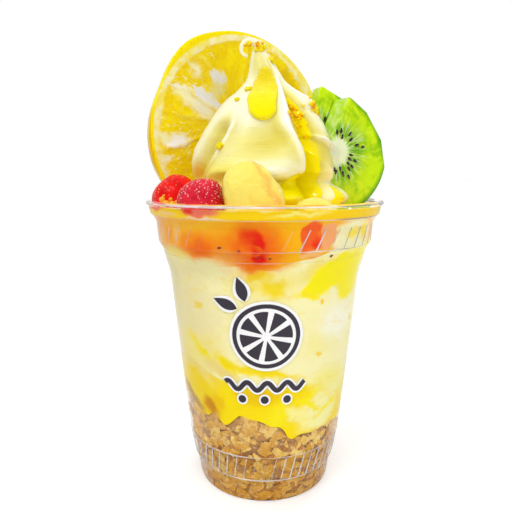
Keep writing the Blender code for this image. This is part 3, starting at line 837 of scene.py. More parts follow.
def orange_material():
    """Rays of flesh between pale membranes, with frayed threads at the left, torn patches, pith and rind."""
    looks = Looks("orange", (250, 226, 0), 0.25)
    angle, distance = looks.polar(ORANGE_CORE)
    bent = looks.uneven(angle, 0.06, 3, 0.18)
    nearest = math.pi
    for degrees in MEMBRANES:
        away = looks.math("WRAP", looks.math("SUBTRACT", bent, math.radians(degrees)), -math.pi, math.pi)
        nearest = looks.math("MINIMUM", looks.math("ABSOLUTE", away), nearest)
    membrane = looks.times(nearest, distance)
    rays = looks.join(looks.times(bent, 9), looks.times(distance, 0.2))
    cells = looks.noise(1, 4, rays, 1)
    looks.paint(looks.ramp(cells, 0.35, 0.65), (244, 212, 0))
    looks.paint(looks.cloud(0.05, 2, 0.44, 0.62), (234, 200, 0), 0.5)
    looks.paint(looks.cloud(2.2, 5, 0.54, 0.7, rays, 2), (252, 232, 80), 0.5)
    threads = looks.cloud(3.4, 4, 0.6, 0.66, looks.vector("MULTIPLY", rays, (1, 0.7, 1)), 1)
    looks.paint(looks.times(threads, looks.ramp(looks.x, -8, -16)), (254, 248, 200), 0.75)
    thick = looks.math("MULTIPLY_ADD", looks.cloud(0.1, 3, 0.42, 0.64), 1.3, -0.5)
    looks.paint(looks.ramp(looks.math("SUBTRACT", membrane, thick), 0.5, -0.2), (250, 232, 90), 0.4)
    looks.paint(looks.ramp(looks.uneven(distance, 0.12, 3, 1.4), 3.4, 2), (246, 238, 190))
    front = looks.join(looks.x, looks.z)
    looks.marble(looks.wander(front, rays, 1.6, 4, (8, 5, 0)), ORANGE_PATCHES)
    oval = looks.vector("DIVIDE", front, (ORANGE_HALF_WIDTH, ORANGE_HALF_HEIGHT, 1))
    inward = looks.times(looks.math("SUBTRACT", 1, looks.length(oval)), ORANGE_HALF_WIDTH)
    pith = looks.mix(looks.cloud(0.25, 3, 0.35, 0.65), (248, 240, 190), (246, 228, 96))
    edge = RIND_DEPTH + PITH_DEPTH
    looks.paint(looks.ramp(looks.uneven(inward, 0.12, 3, 1.4), edge + 0.5, edge - 0.5), pith)
    looks.paint(looks.ramp(inward, RIND_DEPTH + 0.4, RIND_DEPTH - 0.4), (252, 228, 0))
    rind = looks.mix(looks.cloud(1.5, 2, 0.4, 0.6), (255, 236, 6), (250, 216, 0))
    shady = looks.times(looks.ramp(looks.x, -34, -41), 0.6)
    looks.paint(looks.ramp(inward, 0.6, 0.1), looks.mix(shady, rind, (216, 152, 0)))
    looks.glow(0.3, (1, 0.9, 0.05), 3)
    looks.relief(looks.math("MULTIPLY_ADD", looks.ramp(membrane, 1.6, 0.2), 0.4, cells), 0.5)
    return looks.finish(specular=0.15, coat=0.1)


def kiwi_material():
    """Wet green flesh: pale core, white rays among the seeds, mottled outside, pulled fibres on the rim."""
    looks = Looks("kiwi", (134, 192, 0), 0.3)
    angle, distance = looks.polar(KIWI_MIDDLE)
    rays = looks.join(looks.times(angle, 9), looks.times(distance, 0.05))
    cells = looks.join(looks.times(angle, 14), looks.times(distance, 0.5))
    looks.paint(looks.ramp(distance, 7, 19), (202, 236, 0))
    looks.paint(looks.cloud(0.14, 4, 0.48, 0.64, distortion=0.6), (120, 188, 0), 0.6)
    looks.paint(looks.cloud(0.5, 5, 0.5, 0.64, cells, 0.8), (218, 242, 40), 0.6)
    looks.paint(looks.window(distance, 5.6, 7, 9.5, 13), (96, 166, 0), 0.55)
    streaks = looks.times(looks.cloud(1, 3, 0.5, 0.6, rays), looks.ramp(distance, 19, 8))
    looks.paint(streaks, (206, 236, 100), 0.6)
    white = looks.times(looks.cloud(2.3, 3, 0.54, 0.62, rays), looks.ramp(distance, 15, 9))
    looks.paint(white, (236, 248, 206), 0.85)
    upper_right = looks.times(looks.ramp(looks.z, -4, 8), looks.ramp(looks.x, 2, 10))
    near_skin = looks.math("MULTIPLY_ADD", upper_right, 3.4, distance)
    looks.paint(looks.ramp(near_skin, 22, 25), (86, 162, 0))
    front = looks.vector("SUBTRACT", looks.join(looks.x, looks.z), (*KIWI_MIDDLE, 0))
    core = looks.length(looks.vector("DIVIDE", front, (*KIWI_CORE, 1)))
    looks.paint(looks.ramp(looks.uneven(core, 1.4, 3, 0.45, rays), 1.4, 0.9), (240, 250, 208))
    half = KIWI_THICKNESS / 2
    rim = looks.ramp(looks.math("ABSOLUTE", looks.y), half - 0.3, half - 0.8)
    looks.paint(rim, (166, 206, 60), 0.7)
    fibres = looks.cloud(0.6, 4, 0.45, 0.62, looks.flattened(0.25))
    looks.paint(looks.times(fibres, rim), (206, 228, 140), 0.7)
    looks.glow(0.2, (0.8, 1, 0.1), 2)
    looks.relief(looks.noise(1.6, 3, rays), 0.3)
    return looks.finish(specular=0.2, coat=0.15)


def strawberry_material(name, light, dark):
    looks = Looks(name, light, 0.25)
    looks.paint(looks.cloud(0.25, 3, 0.35, 0.7), dark)
    looks.glow(0.12, (1, 0.15, 0.08), 1.5)
    looks.relief(looks.noise(0.9, 3), 0.3)
    return looks.finish(specular=0.2, coat=0.12, coat_roughness=0.1)


def peach_material():
    """Pale wet peach, warmer towards its foot, with a red-orange fibre down its right side and sparse
    painted highlights.
    """
    looks = Looks("peach", (251, 230, 104), 0.2)
    looks.paint(looks.ramp(looks.uneven(looks.z, 0.2, 3, 7), 3, -8), (248, 206, 84))
    band = looks.math("MULTIPLY_ADD", looks.z, 0.6, looks.uneven(looks.x, 0.25, 3, 3.5))
    looks.paint(looks.window(band, 5, 7.2, 7.6, 9.6), (246, 158, 60), 0.45)
    # Sparse pale spots: painted highlights.
    looks.paint(looks.cloud(0.8, 2, 0.68, 0.76), (255, 248, 190), 0.6)
    looks.glow(0.15, (1, 0.75, 0.2), 2)
    looks.relief(looks.noise(0.4, 5), 0.7)
    return looks.finish(specular=0.35, coat=0.4, coat_roughness=0.1)


def plain_material(name, colour, roughness, coat=0):
    looks = Looks(name, colour, roughness)
    looks.relief(looks.noise(3, 2), 0.02)
    return looks.finish(coat=coat)


# ---------------------------------------------------------------- cup

def outer_radius(height):
    return np.interp(height, *zip(*CUP_OUTSIDE))


def inner_radius(height):
    return outer_radius(height) - CUP_WALL


def wall_point(azimuth, height, proud=0):
    """Points on the cup's outside, proud of it by some millimetres."""
    azimuth, height = np.broadcast_arrays(np.asarray(azimuth, float), np.asarray(height, float))
    radius = (outer_radius(height) + proud)[..., None]
    return direction(azimuth) * radius + height[..., None] * np.array([0, 0, 1])


def make_cup():
    profile = [(PUSH_UP_RADIUS, PUSH_UP), (FOOT_INNER_RADIUS, 0), (FOOT_RADIUS, 0)]
    profile += [(radius, height) for height, radius in CUP_OUTSIDE]
    for degrees in BEAD_ANGLES:
        angle = math.radians(degrees)
        radius = RIM_RADIUS - BEAD_RADIUS * (1 - math.cos(angle))
        profile.append((radius, CUP_HEIGHT - BEAD_RADIUS * (1 - math.sin(angle))))
    profile += [(radius - CUP_WALL, height) for height, radius in reversed(CUP_OUTSIDE[1:])]
    profile += [(FOOT_RADIUS - 2 * CUP_WALL, GROOVE_HEIGHT), (FOOT_INNER_RADIUS + CUP_WALL, GROOVE_HEIGHT)]
    profile.append((PUSH_UP_RADIUS, FLOOR_HEIGHT))
    sides = direction(turns(CUP_SEGMENTS))
    rings = [sides * radius + (0, 0, height) for radius, height in profile]
    shape = skin(rings, (0, 0, PUSH_UP), (0, 0, FLOOR_HEIGHT))
    make_piece("cup_wall", shape, clear_plastic(), replaces="cup", smooth=30)


def bar_on_wall(azimuths, heights, width, relief):
    """A slim raised bar along a line on the wall, a flattened half-round in section."""
    around = np.radians(turns(8))
    rings = []
    for azimuth, height in zip(azimuths, heights):
        across = azimuth + np.degrees(width * np.cos(around) / outer_radius(height))
        rings.append(wall_point(across, height, relief * np.sin(around)))
    return skin(rings)


def ring_on_wall(height, strength, more, centre, reach):
    """A fine moulded line right round the wall, stronger in some places than in others."""
    azimuths, sections = turns(CUP_SEGMENTS), np.radians(turns(8))
    ripple = wave(azimuths, (1, 3, 7 * height), (1, 5, 11 * height))
    strengths = strength * (1 + 0.3 * ripple) + more * bump(azimuths, centre, reach)
    thick = (LINE_RADIUS * strengths)[:, None]
    up = np.array([0, 0, 1])
    on_bead = height > CUP_HEIGHT - BEAD_RADIUS
    radius = RIM_RADIUS if on_bead else outer_radius(height)
    rings = [
        direction(azimuths) * (radius + thick * math.cos(a)) + up * (height + thick * math.sin(a))
        for a in sections
    ]
    return np.array(rings).reshape(-1, 3), grid_faces(len(sections), CUP_SEGMENTS, closed=True)


def rib_strength(azimuth, height):
    """Some ribs catch the light and others hardly show."""
    if height < CUP_HEIGHT / 2:
        return 1.15 - 1.03 * bump(azimuth, -5, 22) - 0.3 * bump(azimuth, 90, 60)
    left = 0.4 * bump(azimuth, -54, 12) - 0.2 * bump(azimuth, -10, 34)
    return 0.2 + left + bump(azimuth, 22, 8) + 0.4 * bump(azimuth, 52, 14)


def make_ribs():
    parts = [ring_on_wall(*line) for line in LINES]
    shares = np.linspace(0, 1, 5)
    for count, first, low, high, slant in RIB_BANDS:
        for azimuth in first + turns(count):
            strength = rib_strength(azimuth, low)
            places = azimuth + slant * (shares - 0.5), blend(low, high, shares)
            parts.append(bar_on_wall(*places, RIB_WIDTH * strength, RIB_RELIEF * strength))
    make_piece("cup_ribs", joined(parts), rib_plastic())


# ---------------------------------------------------------------- print

def plate(flat, proud, wrap=False):
    """A thin plate on the wall over a grid of (across, up) places, proud of it from and to."""
    rows, columns = flat.shape[:2]
    heights = PRINT_HEIGHT + flat[..., 1]
    azimuths = PRINT_AZIMUTH + np.degrees(flat[..., 0] / outer_radius(PRINT_HEIGHT))
    points = np.concatenate([wall_point(azimuths, heights, lift) for lift in reversed(proud)]).reshape(-1, 3)
    faces = grid_faces(rows, columns, wrap)
    below = rows * columns
    faces += [tuple(below + i for i in reversed(face)) for face in faces]
    rims = [[row * columns + i for i in range(columns)] for row in (0, rows - 1)]
    if not wrap:
        rims += [[i * columns + column for i in range(rows)] for column in (0, columns - 1)]
    for rim in rims:
        ends = rim[1:] + rim[:1] if wrap else rim[1:]
        faces += [(a, b, below + b, below + a) for a, b in zip(rim, ends)]
    return points, faces


def fan(centre, inner, outer, rows, columns, start=0, end=360):
    """Places of a sector, or a whole ring, between two distances from a centre; angles in degrees."""
    angles = np.radians(np.linspace(start, end, columns, endpoint=end - start < 360))
    reach = np.linspace(inner, outer, rows)[:, None]
    return np.stack([centre[0] + reach * np.cos(angles), centre[1] + reach * np.sin(angles)], axis=-1)


def stroke(line, width):
    """Places along a line (across, up), width at each point."""
    along = unit(np.gradient(line, axis=0))
    side = np.stack([-along[:, 1], along[:, 0]], axis=-1) * np.reshape(width, (-1, 1)) / 2
    return np.stack([line - side, line + side])


def make_print():
    """A plain two-colour pattern: a citrus wheel with two leaves over a wavy line and dots."""
    pale, dark = [], []

    def lay(below, above, wrap=False):
        pale.append(plate(below, PALE_PROUD, wrap))
        dark.append(plate(above, INK_PROUD, wrap))

    lay(
        fan(WHEEL, PIN, WHEEL_RADIUS + WHEEL_MARGIN, 4, 72),
        fan(WHEEL, WHEEL_RADIUS - WHEEL_LINE, WHEEL_RADIUS, 3, 72),
        wrap=True,
    )
    for middle in turns(WHEEL_SEGMENTS) + WHEEL_TURN:
        corner = math.radians(middle)
        tip = (WHEEL[0] + 1.6 * math.cos(corner), WHEEL[1] + 1.6 * math.sin(corner))
        start, end = middle - SEGMENT_HALF_ANGLE, middle + SEGMENT_HALF_ANGLE
        segment = fan(tip, 0.2, SEGMENT_LENGTH, 4, 12, start, end)
        dark.append(plate(segment, INK_PROUD))
    shares = np.linspace(0, 1, LEAF_POINTS)
    for across, up, heading in LEAVES:
        lean, along = math.radians(heading), LEAF_LENGTH * shares
        line = np.stack([across + along * math.cos(lean), up + along * math.sin(lean)], axis=-1)
        leaf = np.sin(math.pi * shares**0.8)
        lay(*(stroke(line, thin + more * leaf) for thin, more in (PALE_LEAF, INK_LEAF)))
    across = np.linspace(*WAVE_ENDS, WAVE_POINTS)
    line = np.stack([across, WAVE_HEIGHT + WAVE_SIZE * np.sin(across * WAVE_PITCH)], axis=-1)
    lay(*(stroke(line, np.full(WAVE_POINTS, width)) for width in (PALE_WAVE, INK_WAVE)))
    for across in DOTS:
        place = (across, DOTS_HEIGHT)
        lay(fan(place, PIN, DOT_RADIUS + DOT_MARGIN, 3, 24), fan(place, PIN, DOT_RADIUS, 3, 24), wrap=True)
    make_piece("print_white", joined(pale), plain_material("print_white", PALE, 0.35))
    make_piece("print_ink", joined(dark), plain_material("print_ink", INK, 0.35))


# ---------------------------------------------------------------- contents

def cereal_level(azimuth):
    """Top of the cereal at the wall."""
    return read_smooth(CEREAL_TOP, wrapped(azimuth))


def sauce_level(azimuth):
    """Top of the lemon sauce at the wall."""
    level = 51.5 + wave(azimuth, (1.6, 2, 70), (1, 5, 20))
    return level + 8 * bump(azimuth, -62, 34) - 6 * bump(azimuth, 45, 30)


def cream_level(azimuth):
    """Top of the cream at the wall."""
    level = 100.4 + wave(azimuth, (0.8, 3, 0), (0.7, 6, 50))
    return level - 3.2 * bump(azimuth, 2, 9) + 9.5 * bump(azimuth, 48, 17)


def rim_level(azimuth):
    """Top of the fruit sauce at the wall."""
    return FILL_TOP + 0 * azimuth


def layer_shape(low, high, inset=0, top_relief=0, rest=None):
    """A layer between two levels, out to the middle of the wall. rest(radius) is what its bottom lies on."""
    azimuths = turns(FILL_SEGMENTS)
    floor, ceiling = low(azimuths), high(azimuths)

    def ring(height, share):
        radius = (inner_radius(height) + INTO_WALL - inset) * share
        points = direction(azimuths) * radius[:, None]
        points[:, 2] = height
        return points

    sides = [ring(blend(floor, ceiling, share), 1) for share in np.linspace(0, 1, FILL_ROWS)]
    inner = np.linspace(0.08, 0.98, FILL_RINGS)
    base = [ring(blend(floor.mean(), floor, s * s), s) for s in inner]
    bottom = floor.mean()
    if rest is not None:
        bottom = rest(0)
        for points in base:
            points[:, 2] = rest(np.hypot(points[:, 0], points[:, 1]))
    top = []
    for s in inner[::-1]:
        points = ring(blend(ceiling.mean(), ceiling, s * s), s)
        uneven = noise_at(points, 0.12, 3) + 0.5 * noise_at(points, 0.3, 7)
        points[:, 2] += top_relief * uneven * float(smoothstep(1, 0.86, s))
        top.append(points)
    return skin(base + sides + top, (0, 0, bottom), (0, 0, ceiling.mean()))


def make_fill():
    # Node, bottom, top, relief of the top, and then what fill_material takes.
    layers = (
        ("lemon_sauce", cereal_level, sauce_level, 0, LEMON, (248, 204, 0), 0.25, 1, (246, 204, 0)),
        ("cream", sauce_level, cream_level, 0, CREAM, (251, 238, 150), 0.35, 1, (250, 218, 60)),
        ("fruit_sauce", cream_level, rim_level, 1, FRUIT_SAUCE, (246, 144, 30), 0.25, 0.55, (250, 160, 10)),
    )
    for node, low, high, relief, *look in layers:
        shape = layer_shape(low, high, top_relief=relief)
        make_piece(node + "_layer", shape, fill_material(node, *look), node)
    rng = random.Random(21)
    others = [(rng.uniform(70, 300), rng.uniform(103.5, 111)) for _ in range(OTHER_FRUIT_SEEDS)]
    parts = []
    for azimuth, height in list(FRUIT_SEEDS) + others:
        centre = wall_point(azimuth, height, INTO_WALL - CUP_WALL)
        points, faces = lump(centre, rng.uniform(0.5, 0.75), rng, 5, 8)
        radius = np.hypot(points[:, 0], points[:, 1])
        limit = outer_radius(points[:, 2]) - UNDER_SURFACE
        points[:, :2] *= np.minimum(1, limit / radius)[:, None]
        parts.append((points, faces))
    make_piece("fruit_seeds", joined(parts), plain_material("fruit_seed", (110, 30, 12), 0.4))


# ---------------------------------------------------------------- cereal

def turned(first, second, angle):
    """Two coordinates turned by an angle in radians."""
    cos, sin = math.cos(angle), math.sin(angle)
    return first * cos - second * sin, first * sin + second * cos


def flake(rng, azimuth, height, depth, size):
    """A crushed flake: a bent, ragged plate pressed against the wall."""
    angles = np.sort(np.array([rng.uniform(0, 2 * math.pi) for _ in range(FLAKE_SIDES)]))
    angles = blend(np.radians(turns(FLAKE_SIDES)), angles, 0.55)
    reach = np.array([rng.uniform(0.6, 1.25) for _ in range(FLAKE_SIDES)]) * size
    stretch = rng.uniform(0.45, 1)
    thick = rng.uniform(0.5, 1)
    outer = np.stack([reach * np.cos(angles), 0 * reach, stretch * reach * np.sin(angles)], axis=-1)
    bend_x, bend_z = rng.uniform(-0.06, 0.06), rng.uniform(-0.06, 0.06)
    rings = []
    for share, lift in FLAKE_LEVELS:
        ring = outer * share
        ring[:, 1] += thick * lift + bend_x * ring[:, 0] ** 2 + bend_z * ring[:, 2] ** 2
        rings.append(ring)
    points, faces = skin(rings, (0, -thick * 0.6, 0), (0, thick * 0.6, 0))
    tilt, roll, yaw = rng.gauss(0, 0.42), rng.uniform(0, math.pi), rng.gauss(0, 0.35)
    x, y, z = points.T
    x, z = turned(x, z, roll)
    y, z = turned(y, z, tilt)
    x, y = turned(x, y, yaw + math.radians(azimuth))
    centre = direction(azimuth) * (inner_radius(height) - depth)
    return press_in_cup(np.stack([x + centre[0], y + centre[1], z + height], axis=-1)), faces


def cup_floor(radius):
    """Just above the cup's bottom: the push-up in the middle, and the groove round it."""
    slope = smoothstep(FOOT_INNER_RADIUS + 0.6, PUSH_UP_RADIUS, radius)
    return blend(GROOVE_HEIGHT + 0.1, FLOOR_HEIGHT + 0.2, slope)


def press_in_cup(points):
    """Moves points that stick out of the cereal's space onto its edge."""
    azimuths = np.degrees(np.arctan2(points[:, 0], -points[:, 1]))
    radius = np.hypot(points[:, 0], points[:, 1])
    points[:, 2] = np.clip(points[:, 2], cup_floor(radius) - 0.2, cereal_level(azimuths) + 0.8)
    limit = inner_radius(points[:, 2]) + INTO_WALL
    points[:, :2] *= np.minimum(1, limit / np.maximum(radius, 1e-6))[:, None]
    return points


def make_cereal():
    tones = (
        cereal_material("cereal_gold", (230, 174, 58), (210, 146, 38)),
        cereal_material("cereal_light", (248, 214, 122), (234, 186, 84)),
        cereal_material("cereal_brown", (190, 124, 50), (166, 102, 42)),
    )
    # The core shows in the gaps between the flakes, darker than them: painted shade between the flakes.
    core_painted_shade_look = cereal_material("cereal_core", (170, 116, 62), (136, 88, 50))

    def floor(azimuth):
        return GROOVE_HEIGHT + 0.15 + 0 * azimuth

    def top(azimuth):
        return cereal_level(azimuth) - 0.6

    core = layer_shape(floor, top, inset=0.8, rest=cup_floor)
    make_piece("cereal_core", core, core_painted_shade_look, "cereal")
    rng = random.Random(11)
    parts = []
    for _ in range(FLAKES):
        azimuth = rng.uniform(-180, 180)
        height = max(0.9, blend(-1.8, float(cereal_level(azimuth)), rng.random()))
        depth = rng.uniform(0, 1.6)
        parts.append(flake(rng, azimuth, height, depth, 1.3 + 3.4 * rng.random() ** 2))
    mesh = make_piece("cereal_flakes", joined(parts), tones[0], smooth=35).data
    for tone in tones[1:]:
        mesh.materials.append(tone)
    indices, per_flake = [], len(parts[0][1])
    for _ in range(FLAKES):
        indices += [rng.choice(FLAKE_TONES)] * per_flake
    mesh.polygons.foreach_set("material_index", indices)


# ---------------------------------------------------------------- soft-serve swirl

def lobe_share(azimuth, height):
    """Surface radius as a share of the crest radius: 1 on a lobe's crest, less in the valleys."""
    above = np.maximum(0, height - SWIRL_TWIST_FROM)
    angles = [angle + turn * above for angle, turn, _ in SWIRL_VALLEYS]
    angles[:2] = read_smooth(LEFT_CREASE, height), read_smooth(RIGHT_VALLEY, height)
    depths = [depth + 0 * height for _, _, depth in SWIRL_VALLEYS]
    depths[0] = blend(0.03, depths[0], smoothstep(155, 143, height))
    angles.append(angles[0] + 360)
    depths.append(depths[0])
    turned_to = (azimuth - angles[0]) % 360 + angles[0]
    fade = np.minimum(1, (SWIRL_TOP - height) / 14 + 0.25)
    share = np.ones_like(turned_to)
    for left, right, left_depth, right_depth in zip(angles, angles[1:], depths, depths[1:]):
        middle = (left + right) / 2
        depth = np.where(turned_to < middle, left_depth, right_depth)
        away = np.clip(np.abs(turned_to - middle) / ((right - left) / 2), 0, 1)
        inside = (turned_to >= left) & (turned_to <= right)
        share = np.where(inside, 1 - fade * depth * away**LOBE_ROUNDNESS, share)
    return share


def ledge(azimuth):
    """Height of the ledge across the right lobe."""
    return 145.9 - 0.13 * (azimuth - 46)


def swirl_radius(azimuth, height):
    """Distance of the swirl's surface from its centre line."""
    radius = read_smooth(SWIRL_STATIONS, height, 1) * lobe_share(azimuth, height)
    radius = radius + read_smooth(SWIRL_STATIONS, height, 3) * bump(azimuth, FOOT_LOBE, FOOT_LOBE_WIDTH)
    # The front lobe hollows in its middle and flares to a lip at its foot.
    lip = 129.4 + 2.2 * smoothstep(12, 28, azimuth)
    under = window(height, 122, 126, lip - 1.1, lip + 0.5)
    radius = radius + spots(FRONT_SWELLS, azimuth, height) - 3.4 * bump(azimuth, 8, 36) * under
    # Its right edge is a fine ridge that drops steeply into the valley.
    edge = read_smooth(RIGHT_EDGE, height)
    reach = np.clip(400 / radius, 14, 60) / 14
    ridge = 1.1 * bump(azimuth, edge - 1, 3.6 * reach)
    drop = 2 * bump(azimuth, edge + 8 * reach, 4.8 * reach)
    drop = drop + 0.7 * bump(azimuth, edge - 11 * reach, 6 * reach)
    ridge = ridge - drop * smoothstep(171, 163, height)
    radius = radius + window(height, 127.5, 132, 168, 177) * ridge
    # Its left edge is a thin fold with a hollow on the outer side.
    crease = read_smooth(LEFT_CREASE, height)
    fold = 1.6 * bump(azimuth, crease, 1.8) - 3 * bump(azimuth, crease - 9, 7)
    radius = radius + window(height, 127, 131, 147, 152) * fold
    # The right lobe bulges near the top, steps in below a ledge and rests on a lower fold.
    step = ledge(azimuth)
    fold = 143 - 0.62 * (azimuth - 44)
    recess = smoothstep(0.5, -0.9, height - step) * smoothstep(-1.2, 1.2, height - fold)
    bulge = 0.9 * hump(height, fold - 1.2, 1.6) * smoothstep(126, 130, height)
    lobe = 0.6 * hump(height, step + 0.5, 0.8) - 2.3 * recess + bulge
    return radius + spots(RIGHT_SWELLS, azimuth, height) + window(azimuth, 43, 50, 80, 96) * lobe


def swirl_point(azimuth, height, lift=0):
    azimuth, height = np.broadcast_arrays(np.asarray(azimuth, float), np.asarray(height, float))
    radius = (swirl_radius(azimuth, height) + lift)[..., None]
    shift = read_smooth(SWIRL_STATIONS, height, 2)
    return np.stack([SWIRL_X + shift, SWIRL_Y + 0 * height, height], axis=-1) + direction(azimuth) * radius


def curl_rings(azimuths):
    """The tip curls over to the left: rings along an arc that winds in."""
    height, _, shift, _ = SWIRL_STATIONS[-1]
    centre = np.array([SWIRL_X + shift - CURL_RADIUS[0], SWIRL_Y, height + 0.5])
    sides = direction(azimuths)
    rings = []
    for step in range(1, CURL_STEPS + 1):
        share = step / CURL_STEPS
        angle = math.radians(CURL_TURN * share)
        out = np.array([math.cos(angle), 0, math.sin(angle)])
        tube = blend(*CURL_TUBE, share**0.42)
        middle = centre + out * blend(*CURL_RADIUS, share**0.75)
        rings.append(middle + (np.outer(sides[:, 0], out) + np.outer(sides[:, 1], (0, 1, 0))) * tube)
    return rings


def painted_swirl_shading(azimuth, height):
    """Painted shade and highlights on the cream: the table of them, painted highlights along the ridges and
    the ledge, painted yellow shade inside the right ridge, and the sauce's yellow along its valley.
    """
    edge, crease = read_smooth(RIGHT_EDGE, height), read_smooth(LEFT_CREASE, height)
    # Painted yellow shade just inside the right ridge, and a painted highlight along it.
    inside = 0.4 * bump(azimuth, edge - 13, 7) * smoothstep(140, 148, height)
    right = window(height, 129, 134, 172, 179) * (inside - 0.7 * bump(azimuth, edge - 1, 4.5))
    # Painted highlight along the left crease.
    left = window(height, 127, 131, 148, 154) * 0.8 * bump(azimuth, crease, 2.4)
    # Yellow of the sauce along the valley.
    valley = 1.2 * bump(azimuth, read_smooth(RIGHT_VALLEY, height) + 1, 7)
    valley = window(height, 124, 128, 158, 166) * valley
    # Painted highlight along the ledge of the right lobe.
    top = 0.9 * smoothstep(44, 50, azimuth) * bump(azimuth, 66, 24)
    top = top * hump(height, ledge(azimuth) + 0.4, 1.1)
    return spots(SWIRL_PAINTED_SHADING, azimuth, height) + right - left + valley - top


def make_swirl():
    azimuths = turns(SWIRL_COLUMNS)
    heights = np.arange(SWIRL_BOTTOM, SWIRL_TOP, SWIRL_ROW)[:, None]
    rings = np.concatenate([swirl_point(azimuths, heights), curl_rings(azimuths)])
    ripple = 0.16 * noise_at(rings * np.array([1, 1, 2.5]), 0.16, 5)
    rings += direction(azimuths) * ripple[..., None]
    shape = skin(rings, (SWIRL_X, SWIRL_Y, SWIRL_BOTTOM))
    # Painted shade and highlights for the cream, kept on the mesh as hollow: depth below the crest plus the
    # painted shading.
    depth = (read_smooth(SWIRL_STATIONS, heights, 1) - swirl_radius(azimuths, heights)) / CREASE_DEPTH
    depth = np.clip(depth, 0, 1) * smoothstep(178, 168, heights) + painted_swirl_shading(azimuths, heights)
    hollow = np.zeros(len(shape[0]))
    hollow[: depth.size] = depth.ravel()
    look = soft_serve_material()
    make_piece("soft_serve_swirl", shape, look, "soft_serve", smooth=80, hollow=hollow)


def closed_sheet(top, bottom, faces):
    """Two sides of a sheet, joined round every edge that only one face uses."""
    count = len(top)
    edges = {(a, b) for face in faces for a, b in zip(face, face[1:] + face[:1])}
    sides = [(b, a, a + count, b + count) for a, b in edges if (b, a) not in edges]
    below = [tuple(count + i for i in reversed(face)) for face in faces]
    return np.concatenate([top, bottom]), faces + below + sorted(sides)


def sauce_run(run, thickness):
    """A raised patch on the swirl round a run of discs, with a rounded edge that dips under the surface."""
    steps = np.linspace(0, len(run) - 1, SAUCE_STEPS)
    line = np.stack([np.interp(steps, range(len(run)), values) for values in zip(*run)], axis=-1)
    middles, levels, widths = line.T
    reach = widths.max() + 2
    spread = math.degrees(reach / float(read_smooth(SWIRL_STATIONS, levels.mean(), 1))) * 1.3
    lowest, highest = max(SWIRL_BOTTOM, levels.min() - reach), min(SAUCE_TOP, levels.max() + reach)
    azimuth, height = np.meshgrid(
        np.linspace(middles.min() - spread, middles.max() + spread, SAUCE_GRID),
        np.linspace(lowest, highest, SAUCE_GRID),
    )
    radius = swirl_radius(azimuth, height)
    inside = np.full(azimuth.shape, -9.0)
    for centre, level, width in line:
        away = np.hypot(np.radians(azimuth - centre) * radius, height - level)
        inside = np.maximum(inside, width - away)
    inside += 0.35 * noise_at(swirl_point(azimuth, height), 0.25, 9)
    share = np.clip(inside / SAUCE_EDGE, 0, 1)
    lift = np.where(inside > 0, thickness * np.sqrt(1 - (1 - share) ** 2) - 0.05, -0.35)
    near = (inside > -0.8).reshape(-1)
    faces = [f for f in grid_faces(SAUCE_GRID, SAUCE_GRID, wrap=False) if near[list(f)].all()]
    used = sorted(set(i for f in faces for i in f))
    renumber = {old: new for new, old in enumerate(used)}
    faces = [tuple(renumber[i] for i in f) for f in faces]
    top, bottom = (swirl_point(azimuth, height, by).reshape(-1, 3)[used] for by in (lift, -SAUCE_UNDERSIDE))
    return closed_sheet(top, bottom, faces)


def make_sauce():
    parts = [sauce_run(run, thickness) for run, thickness in SAUCE_RUNS.values()]
    make_piece("lemon_glaze", joined(parts), lemon_glaze_material(), smooth=80)


def make_zest():
    rng = random.Random(5)
    parts = []
    for azimuth, height, spread, count, largest in ZEST_CLUSTERS:
        for _ in range(count):
            level = min(height + rng.gauss(0, spread), ZEST_TOP)
            radius = float(swirl_radius(np.array(float(azimuth)), np.array(level)))
            turn = azimuth + math.degrees(rng.gauss(0, spread) / max(radius, 4))
            centre = swirl_point(turn, level, ZEST_LIFT)
            parts.append(lump(centre, largest * rng.uniform(*ZEST_SIZES), rng))
    for place, spread, count, largest in TIP_CLUSTERS:
        for _ in range(count):
            centre = [rng.gauss(middle, spread) for middle in place]
            centre[1] = max(centre[1], place[1] - ZEST_LIFT)
            parts.append(lump(centre, largest * rng.uniform(*ZEST_SIZES), rng))
    make_piece("zest_crumbs", joined(parts), zest_material())


# ---------------------------------------------------------------- slices

def slab(front_reach, back_reach, thickness, edge, rows, relief=None):
    """A slice in its XZ plane, between an outline before and one behind. relief(x, z) lowers its faces."""
    half = thickness / 2
    angles = np.radians(turns(SLICE_COLUMNS))
    front_distances = np.array([front_reach(a) for a in angles])
    back_distances = np.array([back_reach(a) for a in angles])

    def ring(share, inset, depth, side=0):
        distances = blend(front_distances, back_distances, (depth + half) / thickness) * share - inset
        across, upward = distances * np.cos(angles), distances * np.sin(angles)
        y = np.full(SLICE_COLUMNS, depth)
        if relief is not None and side:
            y -= side * relief(across, upward)
        return np.stack([across, y, upward], axis=-1)

    face = np.linspace(0.03, 1, rows)
    bends = [(edge * (1 - math.sin(t)), half - edge * (1 - math.cos(t))) for t in np.radians([30, 60, 90])]
    rings = [ring(share, edge * share, -half, -1) for share in face]
    rings += [ring(1, inset, -depth) for inset, depth in bends]
    rings += [ring(1, inset, depth) for inset, depth in reversed(bends)]
    rings += [ring(share, edge * share, half, 1) for share in face[::-1]]
    return skin(rings)


def orange_reach(angle):
    uneven = ORANGE_UNEVENNESS * math.cos(2 * angle - ORANGE_WIDEST)
    for degrees, width, swell in ORANGE_SWELLS:
        uneven += swell * bump(math.degrees(angle), degrees, width)
    across, upward = math.cos(angle) / ORANGE_HALF_WIDTH, math.sin(angle) / ORANGE_HALF_HEIGHT
    return (1 + uneven) / math.hypot(across, upward)


